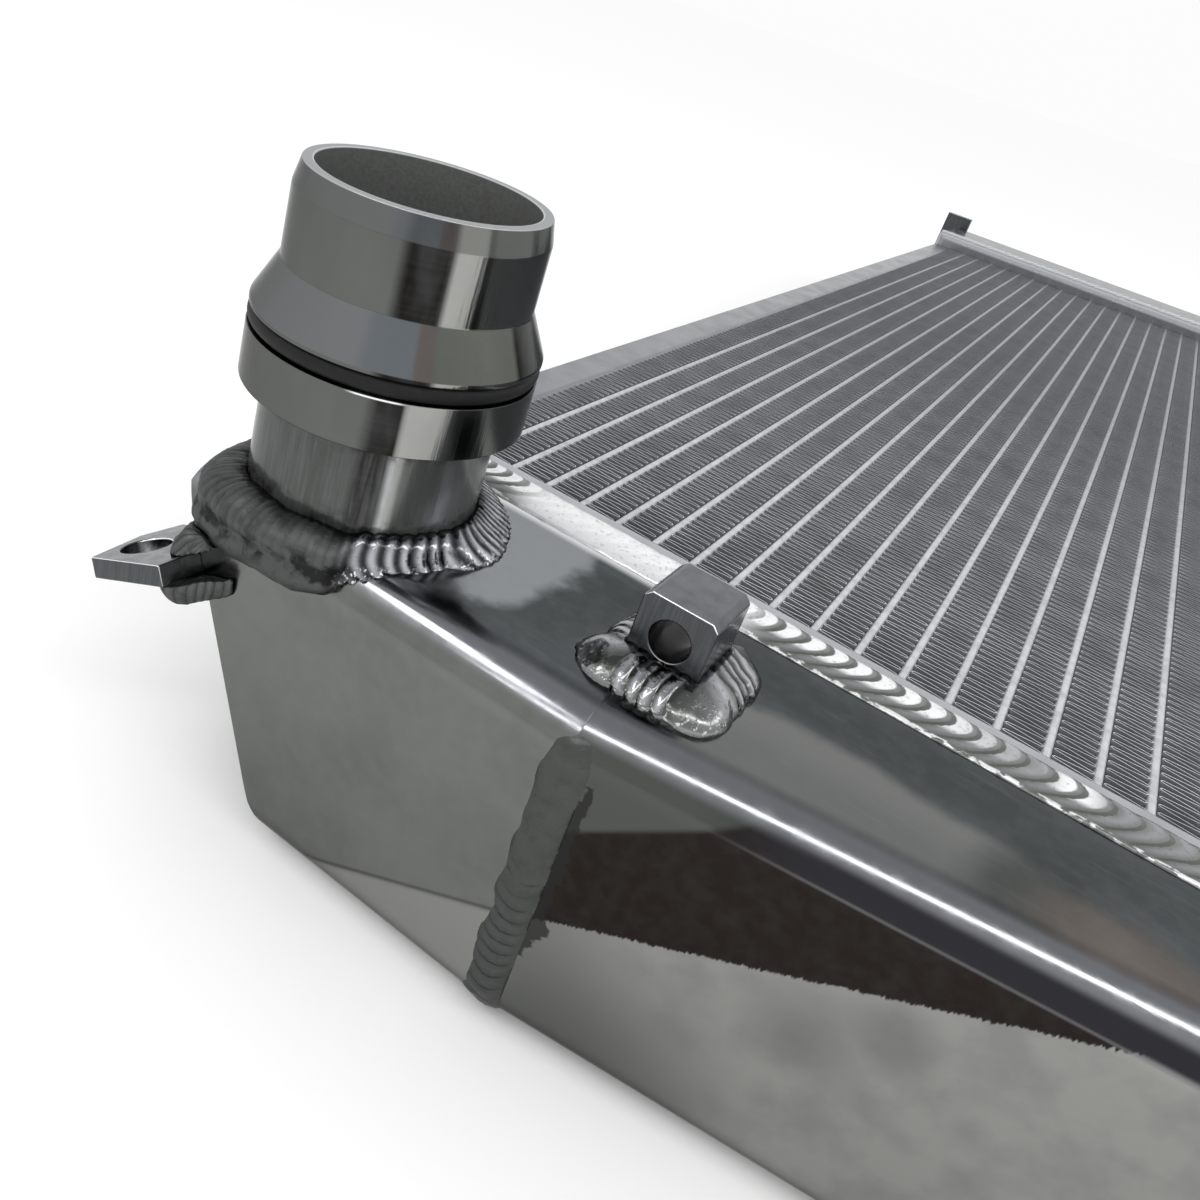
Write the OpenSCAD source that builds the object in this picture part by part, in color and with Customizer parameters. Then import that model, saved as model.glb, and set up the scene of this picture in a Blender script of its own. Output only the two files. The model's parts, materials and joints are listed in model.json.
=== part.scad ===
// Aluminium cross-flow radiator: a brazed tube and fin core between two welded
// tanks, with a quick-fit hose neck on each tank.
// X runs along the tanks, Y along the tubes from the inlet tank to the outlet
// tank, and Z is up, through the core. The origin is under the middle of the part.

/* [Core] */
// Length of the finned core between the two headers
core_len = 640; // [400:1:800]
// Depth of the core, the way the air goes through it
core_depth = 56; // [42:1:70]
// Number of coolant tubes
tube_count = 43; // [33:2:49]
// Spacing of the tubes
tube_pitch = 10; // [9:0.5:12]
// Thickness of a flat tube
tube_t = 2; // [1.6:0.1:3]
// Wall of a tube
tube_wall = 0.4; // [0.3:0.05:0.6]
// How far a tube stands out of its header inside the tank
tube_proud = 2; // [1:0.5:4]
// Height of the outermost fin rows, next to the side plates
edge_fin_h = 9; // [7:0.5:12]
// Spacing of the legs of a folded fin, coarser than the real folds
fin_leg_pitch = 20; // [16:1:40]
// Thickness of the folded fin strip
fin_t = 0.6; // [0.4:0.1:1]
// Gap between the ends of the fins and the headers
fin_gap = 1; // [0.5:0.5:4]

/* [Side plates] */
// Thickness of the side plates
side_t = 1.5; // [1:0.1:3]
// Width of a side plate's flanges, web included
side_flange = 11.5; // [8:0.5:20]
// Outer bend radius of the side plates
side_r = 2; // [1.6:0.1:3]

/* [Headers] */
// Step from the face of the core up to the face of the tanks
header_lip = 8; // [6:0.5:12]
// Thickness of the header plates
header_t = 3; // [2:0.5:4]
// Depth of a header's rim, from the core side to the tank's edge
header_rim = 9.3; // [8:0.1:14]
// Outer bend radius of the header's rim
header_r = 4; // [3:0.5:6]

/* [Tanks] */
// Thickness of the tank sheet
tank_wall = 3; // [2:0.5:4]
// Outer radius of the tanks' long folds
fold_r = 9; // [6:0.5:12]
// Depth of the inlet tank at its deep end, from the header's face
inlet_depth = 65; // [62:1:80]
// Depth of the inlet tank at its shallow end
shallow_depth = 32; // [26:1:44]
// Slant of the tapering wall, in degrees
taper_angle = 8.6; // [7:0.1:14]
// Length of the deep end section, up to the first seam
end_section_len = 95; // [88:1:120]
// Slant of the deep end's edge from the upright, in degrees
end_slope = 24.8; // [10:0.1:30]
// How far the outer wall's top corner is set in from the header's end
end_set_in = 5; // [2:0.5:9]
// Radius of the deep end's lower corner
end_r = 18; // [10:1:24]
// Depth of the outlet tank, from the header's face
outlet_depth = 69; // [62:1:80]
// Thickness of the flat end plates
end_plate_t = 3; // [2:0.5:5]

/* [Necks] */
// Bore of a neck
neck_bore_d = 40; // [30:0.5:41]
// Outer diameter of the neck's tube
neck_tube_d = 45; // [43:0.5:48]
// Height of the plain tube above the tank
neck_tube_h = 21.5; // [18:0.1:28]
// Outer diameter of the collar
collar_d = 54; // [50:0.5:60]
// Height of the bevel under the collar
collar_slope_h = 1.2; // [0.5:0.1:3]
// Height of the collar
collar_h = 9.9; // [6:0.1:14]
// Diameter at the bottom of the seal groove
groove_d = 47; // [45:0.5:48]
// Height of the seal groove
groove_h = 3.5; // [3:0.1:4.5]
// Height of the straight land above the groove
land_h = 1; // [0.5:0.1:3]
// Height of the cone down to the waist
cone_h = 8; // [5:0.5:12]
// Outer diameter of the neck's spigot
spigot_d = 46; // [43:0.5:48]
// Height of the spigot
spigot_h = 12.5; // [8:0.5:24]
// Outer diameter at the spigot's lip
lip_d = 44; // [42.5:0.5:45]
// Height of the bevel at the lip
lip_h = 4.4; // [2:0.1:6]
// Distance of a neck's axis from the end of its tank
neck_from_end = 29.1; // [28:0.1:40]
// Distance of a neck's axis from the tank's outer wall
neck_from_wall = 23.5; // [23:0.1:30]

/* [Mounting block] */
// Width of the block
block_w = 14; // [12:0.5:20]
// Depth of the block
block_d = 15; // [10:0.5:20]
// Height of the block
block_h = 16; // [14:0.5:20]
// Bore through the block
block_bore_d = 7.5; // [5:0.5:8]
// Height of the bore's axis above the tank
block_bore_h = 8.9; // [7:0.1:10]
// Bevel along the block's top edges
block_bevel = 1.3; // [0.5:0.1:2]
// Middle of the block, past the first seam
block_past_seam = 3.5; // [0:0.5:20]
// Front of the block from the tank's outer wall
block_from_wall = 19.2; // [15:0.1:22]

/* [Mounting tab] */
// Thickness of the tab
tab_t = 4.4; // [3:0.1:6]
// How far the tab's outer end comes to a blunt point
tab_point = 2.6; // [0.5:0.1:5]
// How far the tab stands out from the tank's end
tab_out = 20; // [18:0.5:30]
// Width of the tab
tab_w = 22.9; // [20:0.1:30]
// How far the tab's front edge is ahead of the outer wall
tab_ahead = 10; // [4:0.5:12]
// Bore through the tab
tab_bore_d = 10; // [6:0.1:11]
// Distance of the bore from the tank's end
tab_bore_out = 14.5; // [12:0.1:15]
// Distance of the bore from the tab's front edge
tab_bore_back = 9; // [8:0.1:12]
// Tab's upper face below the tank's face, at the tank's end
tab_drop = 14.5; // [13:0.5:24]

/* [Mounting ear] */
// Thickness of the ear
ear_t = 4; // [3:0.5:6]
// Height of the ear above the tank's face
ear_above = 8; // [4:0.5:14]
// Depth of the ear below the tank's face
ear_below = 40; // [30:1:50]
// Length of the ear along the tank's outer wall
ear_lap = 6.2; // [5:0.1:16]
// How far the ear's top stands out past the tank's end
ear_top_out = 12; // [8:0.5:20]
// How far the ear's foot stands out past the tank's end
ear_foot_out = 28; // [22:0.5:36]
// Height of the foot's outer edge
ear_foot_h = 8; // [4:0.5:12]
// Height over the ear's lower edge from which its outer edge is upright
ear_shoulder_h = 21; // [18:0.5:30]
// Bore through the ear
ear_bore_d = 8.5; // [5:0.5:12]

/* [Welds] */
// Width of the beads round the headers
header_bead_w = 10.4; // [8:0.1:12]
// Height of the beads above the sheet
bead_h = 1.6; // [1:0.1:2.5]
// Width of the seam beads
seam_bead_w = 7; // [5:0.5:10]
// Thickness of the bead round the foot of a neck
neck_bead_d = 17; // [12:0.5:18]
// Spread of the weld round the foot of the block
block_weld_w = 8; // [5:0.5:9]
// Height of the weld round the foot of the block
block_weld_h = 4.6; // [3:0.1:6]

/* [Hidden] */
$fn = 64;
hull_fn = 32;
over = 1;

fin_h = tube_pitch - tube_t;
tube_span = (tube_count - 1) * tube_pitch;
fin_reach = tube_span / 2 + tube_t / 2 + edge_fin_h;
half_w = fin_reach + side_flange;

tank_z = bead_h;
core_z = tank_z + header_lip;
tank_h = core_depth + 2 * header_lip;
tank_top = tank_z + tank_h;
header_y = -core_len / 2;
butt_y = header_y - header_rim;
inlet_wall_y = header_y - inlet_depth;
shallow_wall_y = header_y - shallow_depth;
outlet_wall_y = -header_y + outlet_depth;
seam_x = -half_w + end_section_len;
step_x = seam_x + (inlet_depth - shallow_depth) / tan(taper_angle);

collar_z = neck_tube_h + collar_slope_h;
groove_z = collar_z + collar_h;
land_z = groove_z + groove_h;
waist_z = land_z + land_h + cone_h;
lip_z = waist_z + spigot_h;
neck_h = lip_z + lip_h;
neck_foot = fold_r + 1;
end_land = tank_wall;
neck_bead_r = neck_bead_d / 2;
neck_bead_ring = neck_tube_d / 2 + neck_bead_r - 7;
neck_bead_sink = 2;
neck_bead_reach = neck_bead_ring + neck_bead_r;

block_x = seam_x + block_past_seam;
block_y = inlet_wall_y + block_from_wall + block_d / 2;
tab_x = -half_w + end_set_in + tab_drop * tan(end_slope);
tab_far_x = tab_x - (tab_out + tab_point) * cos(end_slope);
ear_bore_out = (ear_foot_out + ear_lap) / 2 - 5;
ear_bore_z = tank_top - ear_below + 12;

low_x = min(-half_w - ear_foot_out, tab_far_x, -half_w + neck_from_end - neck_bead_reach);
high_x = max(half_w + bead_h, half_w - neck_from_end + neck_bead_reach);
low_y = inlet_wall_y - max(tab_ahead, neck_bead_reach - neck_from_wall);
high_y = outlet_wall_y + max(ear_t, neck_bead_reach - neck_from_wall);

polished = "#a9abad";
brushed = "#8f9294";
welded = "#7d8083";
core_grey = "#9a9ea1";
fin_grey = "#6f7275";
seal_black = "#161616";

// Placing and drawing helpers

module placed() {
    translate([-(low_x + high_x) / 2, -(low_y + high_y) / 2, 0]) children();
}

module on_outlet_side() {
    mirror([0, 1, 0]) children();
}

// A flat outline in Y and Z, pushed along X from x0 to x1
module along_x(x0, x1) {
    translate([x0, 0, 0]) rotate([90, 0, 90]) linear_extrude(x1 - x0) children();
}

// A flat outline in X and Z, pushed along Y from y0 to y1
module along_y(y0, y1) {
    translate([0, y1, 0]) rotate([90, 0, 0]) linear_extrude(y1 - y0) children();
}

// A flat outline in X and Y, pushed up from z0 to z1
module along_z(z0, z1) {
    translate([0, 0, z0]) linear_extrude(z1 - z0) children();
}

// A rectangle with two of its corners rounded, those at its low or its high u
module two_round(u0, u1, v0, v1, r, low_end) {
    u = low_end ? u0 : u1;
    in = low_end ? 1 : -1;
    difference() {
        translate([u0, v0]) square([u1 - u0, v1 - v0]);
        for (side = [0, 1]) {
            v = side == 0 ? v0 : v1;
            up = side == 0 ? 1 : -1;
            difference() {
                translate([u + in * r / 2, v + up * r / 2]) square(r, center = true);
                translate([u + in * r, v + up * r]) circle(r);
            }
        }
    }
}

// Core

module tube_outline(inset) {
    t = tube_t - 2 * inset;
    straight = core_depth - tube_t;
    translate([-t / 2, core_z + tube_t / 2]) square([t, straight]);
    for (z = [0, straight]) translate([0, core_z + tube_t / 2 + z]) circle(d = t);
}

module each_tube() {
    for (i = [0 : tube_count - 1]) translate([-tube_span / 2 + i * tube_pitch, 0, 0]) children();
}

tube_end = core_len / 2 + header_t + tube_proud;

module tubes() {
    placed() color(core_grey) each_tube() difference() {
        along_y(-tube_end, tube_end) tube_outline(0);
        along_y(-tube_end - over, tube_end + over) tube_outline(tube_wall);
    }
}

// One folded fin, from x = 0 to x = h: its legs lean to and fro between the tubes
module fin_strip(h) {
    run = core_len - 2 * fin_gap;
    legs = max(2, round(run / fin_leg_pitch));
    step = run / legs;
    across = fin_t * sqrt(h * h + step * step) / step;
    near = [for (i = [0 : legs]) [i % 2 == 0 ? 0 : h - across, -run / 2 + i * step]];
    far = [for (i = [legs : -1 : 0]) near[i] + [across, 0]];
    along_z(core_z, core_z + core_depth) polygon(concat(near, far));
}

module fin_rows(side) {
    rows = (tube_count - 1) / 2;
    for (i = [0 : rows - 1]) translate([side * (tube_t / 2 + i * tube_pitch), 0, 0])
        mirror([side < 0 ? 1 : 0, 0, 0]) fin_strip(fin_h);
    translate([side * (tube_span / 2 + tube_t / 2), 0, 0])
        mirror([side < 0 ? 1 : 0, 0, 0]) fin_strip(edge_fin_h);
}

module fins_left() {
    placed() color(fin_grey) fin_rows(-1);
}

module fins_right() {
    placed() color(fin_grey) fin_rows(1);
}

// A channel along the core's edge, open outwards
module side_plate(side) {
    web = fin_reach;
    out = web + side_flange;
    mirror([side < 0 ? 1 : 0, 0, 0]) difference() {
        along_y(header_y, -header_y) two_round(web, out, core_z, core_z + core_depth, side_r, true);
        along_y(header_y - over, -header_y + over) two_round(
            web + side_t, out + over, core_z + side_t, core_z + core_depth - side_t,
            side_r - side_t, true);
    }
}

module side_plate_left() {
    placed() color(polished) side_plate(-1);
}

module side_plate_right() {
    placed() color(polished) side_plate(1);
}

// Headers: trays with a rim all round, slotted for the tubes

module tray(inset, y_open) {
    y_face = header_y - inset;
    r = header_r - inset;
    intersection() {
        along_x(-half_w + inset, half_w - inset)
            two_round(y_open, y_face, tank_z + inset, tank_top - inset, r, false);
        along_z(tank_z + inset, tank_top - inset) rotate(90)
            two_round(y_open, y_face, -half_w + inset, half_w - inset, r, false);
    }
}

module header() {
    difference() {
        tray(0, butt_y);
        tray(header_t, butt_y - over);
        each_tube() along_y(header_y - header_t - over, header_y + over) tube_outline(0);
    }
}

module inlet_header() {
    placed() color(polished) header();
}

module outlet_header() {
    placed() on_outlet_side() color(polished) header();
}

// Tanks: folded sheet, open towards the header

// The folded section, outside with no inset and inside with an inset of one wall
module folded(x0, x1, depth, inset, y_open) {
    along_x(x0, x1) two_round(header_y - depth + inset, y_open,
        tank_z + inset, tank_top - inset, fold_r - inset, true);
}

// The space that the deep end may fill: square at the header, and cut to a slope
// with a rounded lower corner at the outer wall
module end_former(inset, y_open) {
    left = -half_w + inset;
    edge_x = -half_w + end_set_in;
    low = tank_z + inset;
    high = tank_top - inset;
    r = end_r - inset;
    mid_z = low + r;
    mid_x = edge_x + (end_r + (tank_top - mid_z) * sin(end_slope)) / cos(end_slope);
    top_x = edge_x + inset * (1 + sin(end_slope)) / cos(end_slope);
    wall_y = inlet_wall_y + inset;
    hull() {
        translate([left, y_open - end_land, low]) cube([seam_x - left, end_land, high - low]);
        along_y(wall_y, wall_y + end_land)
            polygon([[top_x, high], [seam_x, high], [seam_x, low], [mid_x, low]]);
        translate([mid_x, wall_y + end_land, mid_z]) rotate([90, 0, 0])
            cylinder(r = r, h = end_land, $fn = hull_fn);
    }
}

module end_body(inset) {
    intersection() {
        folded(-half_w, seam_x, inlet_depth, inset, butt_y);
        end_former(inset, butt_y);
    }
}

module end_cavity() {
    intersection() {
        folded(-half_w, seam_x + over, inlet_depth, tank_wall, butt_y + over);
        union() {
            end_former(tank_wall, butt_y);
            translate([-half_w + tank_wall, butt_y - over, tank_z])
                cube([end_section_len, 2 * over, tank_h]);
            translate([seam_x - over, inlet_wall_y, tank_z]) cube([2 * over, inlet_depth, tank_h]);
        }
    }
}

module taper_body(inset, more) {
    intersection() {
        translate([seam_x, inlet_wall_y, 0]) rotate([0, 0, taper_angle])
            along_x(-inlet_depth, step_x - seam_x + inlet_depth) two_round(
                inset, 2 * inlet_depth, tank_z + inset, tank_top - inset, fold_r - inset, true);
        translate([seam_x - more, inlet_wall_y - over, 0])
            cube([step_x - seam_x + 2 * more, inlet_depth - header_rim + over + more, 2 * tank_h]);
    }
}

// The first neck stands over the inlet tank's deep end
module at_inlet_neck() {
    translate([-half_w + neck_from_end, inlet_wall_y + neck_from_wall, tank_top]) children();
}

module at_outlet_neck() {
    translate([half_w - neck_from_end, outlet_wall_y - neck_from_wall, tank_top]) children();
}

module neck_hole() {
    translate([0, 0, -neck_foot - tank_wall]) cylinder(d = neck_bore_d, h = neck_foot + tank_wall + over);
}

module inlet_end_section() {
    placed() color(polished) difference() {
        end_body(0);
        end_cavity();
        at_inlet_neck() neck_hole();
    }
}

module inlet_taper_section() {
    placed() color(polished) difference() {
        taper_body(0, 0);
        taper_body(tank_wall, over);
    }
}

module inlet_shallow_section() {
    placed() color(polished) difference() {
        folded(step_x, half_w, shallow_depth, 0, butt_y);
        folded(step_x - over, half_w + over, shallow_depth, tank_wall, butt_y + over);
    }
}

module inlet_end_plate() {
    placed() color(polished)
        folded(half_w - end_plate_t, half_w, shallow_depth, tank_wall, butt_y);
}

module outlet_tank() {
    placed() color(polished) difference() {
        on_outlet_side() difference() {
            folded(-half_w, half_w, outlet_depth, 0, butt_y);
            folded(-half_w - over, half_w + over, outlet_depth, tank_wall, butt_y + over);
        }
        at_outlet_neck() neck_hole();
    }
}

module outlet_end_plate(x0) {
    placed() on_outlet_side() color(polished)
        folded(x0, x0 + end_plate_t, outlet_depth, tank_wall, butt_y);
}

module outlet_end_plate_left() {
    outlet_end_plate(-half_w);
}

module outlet_end_plate_right() {
    outlet_end_plate(half_w - end_plate_t);
}

// Necks: turned from bar, with a collar, a seal groove and a bevelled spigot

module neck_turned() {
    bore = neck_bore_d / 2;
    tube = neck_tube_d / 2;
    collar = collar_d / 2;
    spigot = spigot_d / 2;
    rotate_extrude() polygon([
        [bore, -neck_foot], [tube, -neck_foot],
        [tube, neck_tube_h], [collar, collar_z],
        [collar, groove_z], [groove_d / 2, groove_z],
        [groove_d / 2, land_z], [collar, land_z],
        [collar, land_z + land_h], [spigot, waist_z],
        [spigot, lip_z], [lip_d / 2, neck_h], [bore, neck_h]
    ]);
}

module inlet_tank_solid() {
    end_body(0);
}

module outlet_tank_solid() {
    on_outlet_side() folded(-half_w, half_w, outlet_depth, 0, butt_y);
}

module inlet_neck() {
    placed() color(brushed) difference() {
        at_inlet_neck() neck_turned();
        inlet_tank_solid();
    }
}

module outlet_neck() {
    placed() color(brushed) difference() {
        at_outlet_neck() neck_turned();
        outlet_tank_solid();
    }
}

// A rubber ring that fills the groove, level with the collar
module seal() {
    cord = (collar_d - groove_d) / 4;
    translate([0, 0, groove_z + groove_h / 2]) rotate_extrude()
        translate([groove_d / 2 + cord, 0]) circle(cord);
}

module inlet_seal() {
    placed() color(seal_black) at_inlet_neck() seal();
}

module outlet_seal() {
    placed() color(seal_black) at_outlet_neck() seal();
}

// Mounts

module block_outline() {
    half = block_w / 2;
    polygon([
        [-half, tank_top], [half, tank_top],
        [half, tank_top + block_h - block_bevel], [half - block_bevel, tank_top + block_h],
        [-half + block_bevel, tank_top + block_h], [-half, tank_top + block_h - block_bevel]
    ]);
}

module mounting_block() {
    placed() color(brushed) translate([block_x, block_y, 0]) difference() {
        along_y(-block_d / 2, block_d / 2) block_outline();
        translate([0, block_d, tank_top + block_bore_h]) rotate([90, 0, 0])
            cylinder(d = block_bore_d, h = 2 * block_d);
    }
}

// Local frame of the tab: X out from the tank's end, Z down through the tab
module at_tab() {
    translate([tab_x, inlet_wall_y - tab_ahead, tank_top - tab_drop])
        rotate([0, 180 - end_slope, 0]) children();
}

// The tab's inner edge is cut to the tank's end, which spreads out towards the header
module mounting_tab() {
    placed() color(brushed) difference() {
        at_tab() linear_extrude(tab_t) polygon([
            [0, 0], [tab_out, 0], [tab_out + tab_point, tab_w * 0.6], [tab_out, tab_w], [0, tab_w]
        ]);
        at_tab() translate([tab_bore_out, tab_bore_back, -over])
            cylinder(d = tab_bore_d, h = tab_t + 2 * over);
        inlet_tank_solid();
    }
}

module ear_outline() {
    foot_z = tank_top - ear_below;
    polygon([
        [-half_w + ear_lap, tank_top + ear_above],
        [-half_w - ear_top_out, tank_top + ear_above],
        [-half_w - ear_top_out, foot_z + ear_shoulder_h],
        [-half_w - ear_foot_out, foot_z + ear_foot_h],
        [-half_w - ear_foot_out, foot_z],
        [-half_w + ear_lap, foot_z]
    ]);
}

module mounting_ear() {
    placed() color(brushed) difference() {
        along_y(outlet_wall_y, outlet_wall_y + ear_t) ear_outline();
        translate([-half_w - ear_bore_out, outlet_wall_y - over, ear_bore_z]) rotate([-90, 0, 0])
            cylinder(d = ear_bore_d, h = ear_t + 2 * over);
    }
}

// Welds

// Cross-section of a bead: a low arc on a flat base, v upwards
module bead(w, h) {
    r = (w * w / 4 + h * h) / (2 * h);
    intersection() {
        translate([0, h - r]) circle(r);
        translate([-w / 2, 0]) square([w, h]);
    }
}

module header_bead_top() {
    along_x(-half_w - bead_h, half_w + bead_h)
        translate([butt_y, tank_top]) bead(header_bead_w, bead_h);
}

// A bead all round the joint of header and tank
module header_bead() {
    difference() {
        union() {
            header_bead_top();
            along_x(-half_w - bead_h, half_w + bead_h)
                translate([butt_y, tank_z]) rotate(180) bead(header_bead_w, bead_h);
            along_z(tank_z - bead_h, tank_top + bead_h) {
                translate([half_w, butt_y]) rotate(-90) bead(header_bead_w, bead_h);
                translate([-half_w, butt_y]) rotate(90) bead(header_bead_w, bead_h);
            }
        }
        translate([-half_w, butt_y - header_bead_w, tank_z])
            cube([2 * half_w, 2 * header_bead_w, tank_h]);
    }
}

module inlet_header_weld() {
    placed() color(welded) header_bead();
}

module outlet_header_weld() {
    placed() on_outlet_side() color(welded) header_bead();
}

// A bead down the outer wall at x, round the lower fold and along the underside
module seam_bead(x, wall_y) {
    fold_y = wall_y + fold_r;
    fold_z = tank_z + fold_r;
    under_end = butt_y - header_bead_w / 2;
    translate([x, 0, 0]) {
        along_z(fold_z, tank_top - fold_r) translate([0, wall_y]) rotate(180)
            bead(seam_bead_w, bead_h);
        translate([0, fold_y, fold_z]) rotate([0, 90, 0]) rotate([0, 0, -90])
            rotate_extrude(angle = 90) fold_bead();
        along_y(fold_y, under_end) translate([0, tank_z]) rotate(180)
            bead(seam_bead_w, bead_h);
    }
}

module fold_bead() {
    translate([fold_r, 0]) rotate(-90) bead(seam_bead_w, bead_h);
}

module inlet_seam_weld() {
    placed() color(welded) seam_bead(seam_x, inlet_wall_y);
}

module inlet_step_weld() {
    placed() color(welded) seam_bead(step_x + seam_bead_w / 2, shallow_wall_y);
}

// The fat bead round a neck's foot: it hangs over the fold and the tank's end
module neck_bead() {
    translate([0, 0, -neck_bead_sink]) rotate_extrude() translate([neck_bead_ring, 0]) circle(neck_bead_r);
}

module neck_shaft() {
    translate([0, 0, -tank_h]) cylinder(d = neck_tube_d, h = 2 * tank_h);
}

module inlet_neck_weld() {
    placed() color(welded) difference() {
        at_inlet_neck() difference() {
            neck_bead();
            neck_shaft();
        }
        inlet_tank_solid();
        header_bead_top();
        translate([-half_w, butt_y - over, tank_z]) cube([2 * half_w, header_rim + over, tank_h]);
    }
}

module outlet_neck_weld() {
    placed() color(welded) difference() {
        at_outlet_neck() difference() {
            neck_bead();
            neck_shaft();
        }
        outlet_tank_solid();
        on_outlet_side() header_bead_top();
    }
}

// A skirt of weld round the block's foot
module block_weld() {
    placed() color(welded) difference() {
        hull() {
            for (sx = [-1, 1], sy = [-1, 1])
                translate([block_x + sx * (block_w / 2), block_y + sy * (block_d / 2), tank_top])
                    cylinder(r = block_weld_w, h = block_weld_h / 8, $fn = hull_fn);
            translate([block_x - block_w / 2 - 1, block_y - block_d / 2 - 1, tank_top])
                cube([block_w + 2, block_d + 2, block_weld_h]);
        }
        translate([block_x - block_w / 2, block_y - block_d / 2, tank_top - over])
            cube([block_w, block_d, block_h]);
    }
}

module tab_weld() {
    bead_r = tab_t * 0.9;
    placed() color(welded) difference() {
        hull() at_tab() {
            translate([1, tab_ahead - 3, tab_t]) sphere(bead_r, $fn = hull_fn);
            translate([-4, tab_ahead + 1, tab_t]) sphere(bead_r, $fn = hull_fn);
            translate([1, tab_w - bead_r, tab_t]) sphere(bead_r, $fn = hull_fn);
            translate([1, tab_ahead + 1, 0]) sphere(bead_r, $fn = hull_fn);
        }
        at_tab() translate([-tab_ahead, 0, 0]) cube([tab_out + tab_ahead + 5, tab_w + 5, tab_t]);
        inlet_tank_solid();
    }
}

// A fillet along the ear's inner edge, between the two folds of the tank
module ear_weld() {
    low = max(tank_z + fold_r, tank_top - ear_below);
    placed() color(welded) along_z(low, tank_top - fold_r)
        translate([-half_w + ear_lap, outlet_wall_y]) intersection() {
            circle(ear_t);
            square(ear_t);
        }
}

tubes();
fins_left();
fins_right();
side_plate_left();
side_plate_right();
inlet_header();
outlet_header();
inlet_end_section();
inlet_taper_section();
inlet_shallow_section();
inlet_end_plate();
outlet_tank();
outlet_end_plate_left();
outlet_end_plate_right();
inlet_neck();
outlet_neck();
inlet_seal();
outlet_seal();
mounting_block();
mounting_tab();
mounting_ear();
inlet_header_weld();
outlet_header_weld();
inlet_seam_weld();
inlet_step_weld();
inlet_neck_weld();
outlet_neck_weld();
block_weld();
tab_weld();
ear_weld();
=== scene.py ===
import json
import math

import bpy
from bpy.props import FloatProperty, FloatVectorProperty, PointerProperty
from bpy.types import Operator, Panel, PropertyGroup
from mathutils import Matrix, Vector, noise

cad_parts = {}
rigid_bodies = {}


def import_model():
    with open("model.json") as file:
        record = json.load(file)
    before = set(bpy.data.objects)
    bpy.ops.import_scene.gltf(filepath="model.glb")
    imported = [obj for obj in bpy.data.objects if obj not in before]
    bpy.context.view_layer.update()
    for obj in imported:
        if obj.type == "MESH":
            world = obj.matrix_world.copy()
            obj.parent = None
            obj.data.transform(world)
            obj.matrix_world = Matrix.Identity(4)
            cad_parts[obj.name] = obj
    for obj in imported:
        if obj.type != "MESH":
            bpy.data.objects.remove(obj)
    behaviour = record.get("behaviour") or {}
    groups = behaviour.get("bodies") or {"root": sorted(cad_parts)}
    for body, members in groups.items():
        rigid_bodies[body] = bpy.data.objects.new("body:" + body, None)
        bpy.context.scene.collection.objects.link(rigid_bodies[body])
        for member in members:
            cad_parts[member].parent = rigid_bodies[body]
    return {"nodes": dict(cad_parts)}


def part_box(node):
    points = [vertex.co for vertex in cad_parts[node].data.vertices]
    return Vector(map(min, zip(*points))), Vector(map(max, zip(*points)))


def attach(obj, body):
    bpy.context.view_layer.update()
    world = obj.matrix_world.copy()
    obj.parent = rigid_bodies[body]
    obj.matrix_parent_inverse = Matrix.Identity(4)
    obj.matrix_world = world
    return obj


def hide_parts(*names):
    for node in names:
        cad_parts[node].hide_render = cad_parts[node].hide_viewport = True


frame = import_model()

bl_info = {
    "name": "Aluminium Radiator",
    "version": (1, 0, 0),
    "blender": (4, 5, 0),
    "location": "View3D > Sidebar > Radiator",
    "description": "Finishes a welded aluminium radiator: folded fins, weld beads, necks and metals",
    "category": "Add Mesh",
}

MM = 0.001

# Corners nearer than this are one corner, in a copy of a solid and in a mesh drawn here
SOLID_GAP = 0.004 * MM
DRAWN_GAP = 0.01 * MM
# Faces of a solid that turn by less than this are one face
FLAT = math.radians(0.4)
# A patch of this radius in millimetres has no end along that axis
ENDLESS = 1000

# What a bead's mesh tells its metal: how many ripples lie behind a point, how strongly they show, and how
# sooty, dull and sparkling it is, the sparkles being painted light
BEAD_MARKS = ("phase", "ripples", "soot_and_shade", "matt", "glint")

# Places that the solid model gives
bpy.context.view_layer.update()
end_low, end_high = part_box("inlet_end_section")
tubes_low, tubes_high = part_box("tubes")
fins_low, fins_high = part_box("fins_left")
block_low, block_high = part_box("mounting_block")
header_low, header_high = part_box("inlet_header")
step_low, step_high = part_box("inlet_step_weld")

tank_top = end_high.z
tank_low = end_low.z
seam_x = end_high.x
wall_y = end_low.y
butt_y = end_high.y
outlet_butt_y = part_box("outlet_tank")[0].y


def foot_of(low, high):
    """The middle of a box as seen from above, on the tanks' upper face."""
    return Vector(((low.x + high.x) / 2, (low.y + high.y) / 2, tank_top))


inlet_axis = foot_of(*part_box("inlet_neck"))
outlet_axis = foot_of(*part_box("outlet_neck"))
block_foot = foot_of(block_low, block_high)

# Radii of a neck, in millimetres
NECK_BORE = 20.0
NECK_TUBE = 22.5
NECK_COLLAR = 27.0
NECK_GROOVE = 23.5
NECK_SPIGOT = 23.0
NECK_LIP = 22.0
# Heights on a neck over the tank's face, in millimetres
NECK_FOOT = -9.8
TUBE_TOP = 21.5
COLLAR_LOW = 22.7
GROOVE_LOW = 32.6
GROOVE_TOP = 36.1
CONE_LOW = 37.1
CONE_TOP = 45.1
LIP_LOW = 57.6
RIM_TOP = 62.0
# Radius of the ring along which a neck's bead is laid
NECK_RING = 23.7 * MM
# Distance from ring to ring of a straight bead's mesh, and of a seam bead's
HEADER_STEP = 0.6 * MM
SEAM_STEP = 0.5 * MM
# The block's bore: its radius, and the height of its axis over the tank's face
BLOCK_BORE = 3.75 * MM
BLOCK_BORE_RISE = 8.9 * MM


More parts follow.
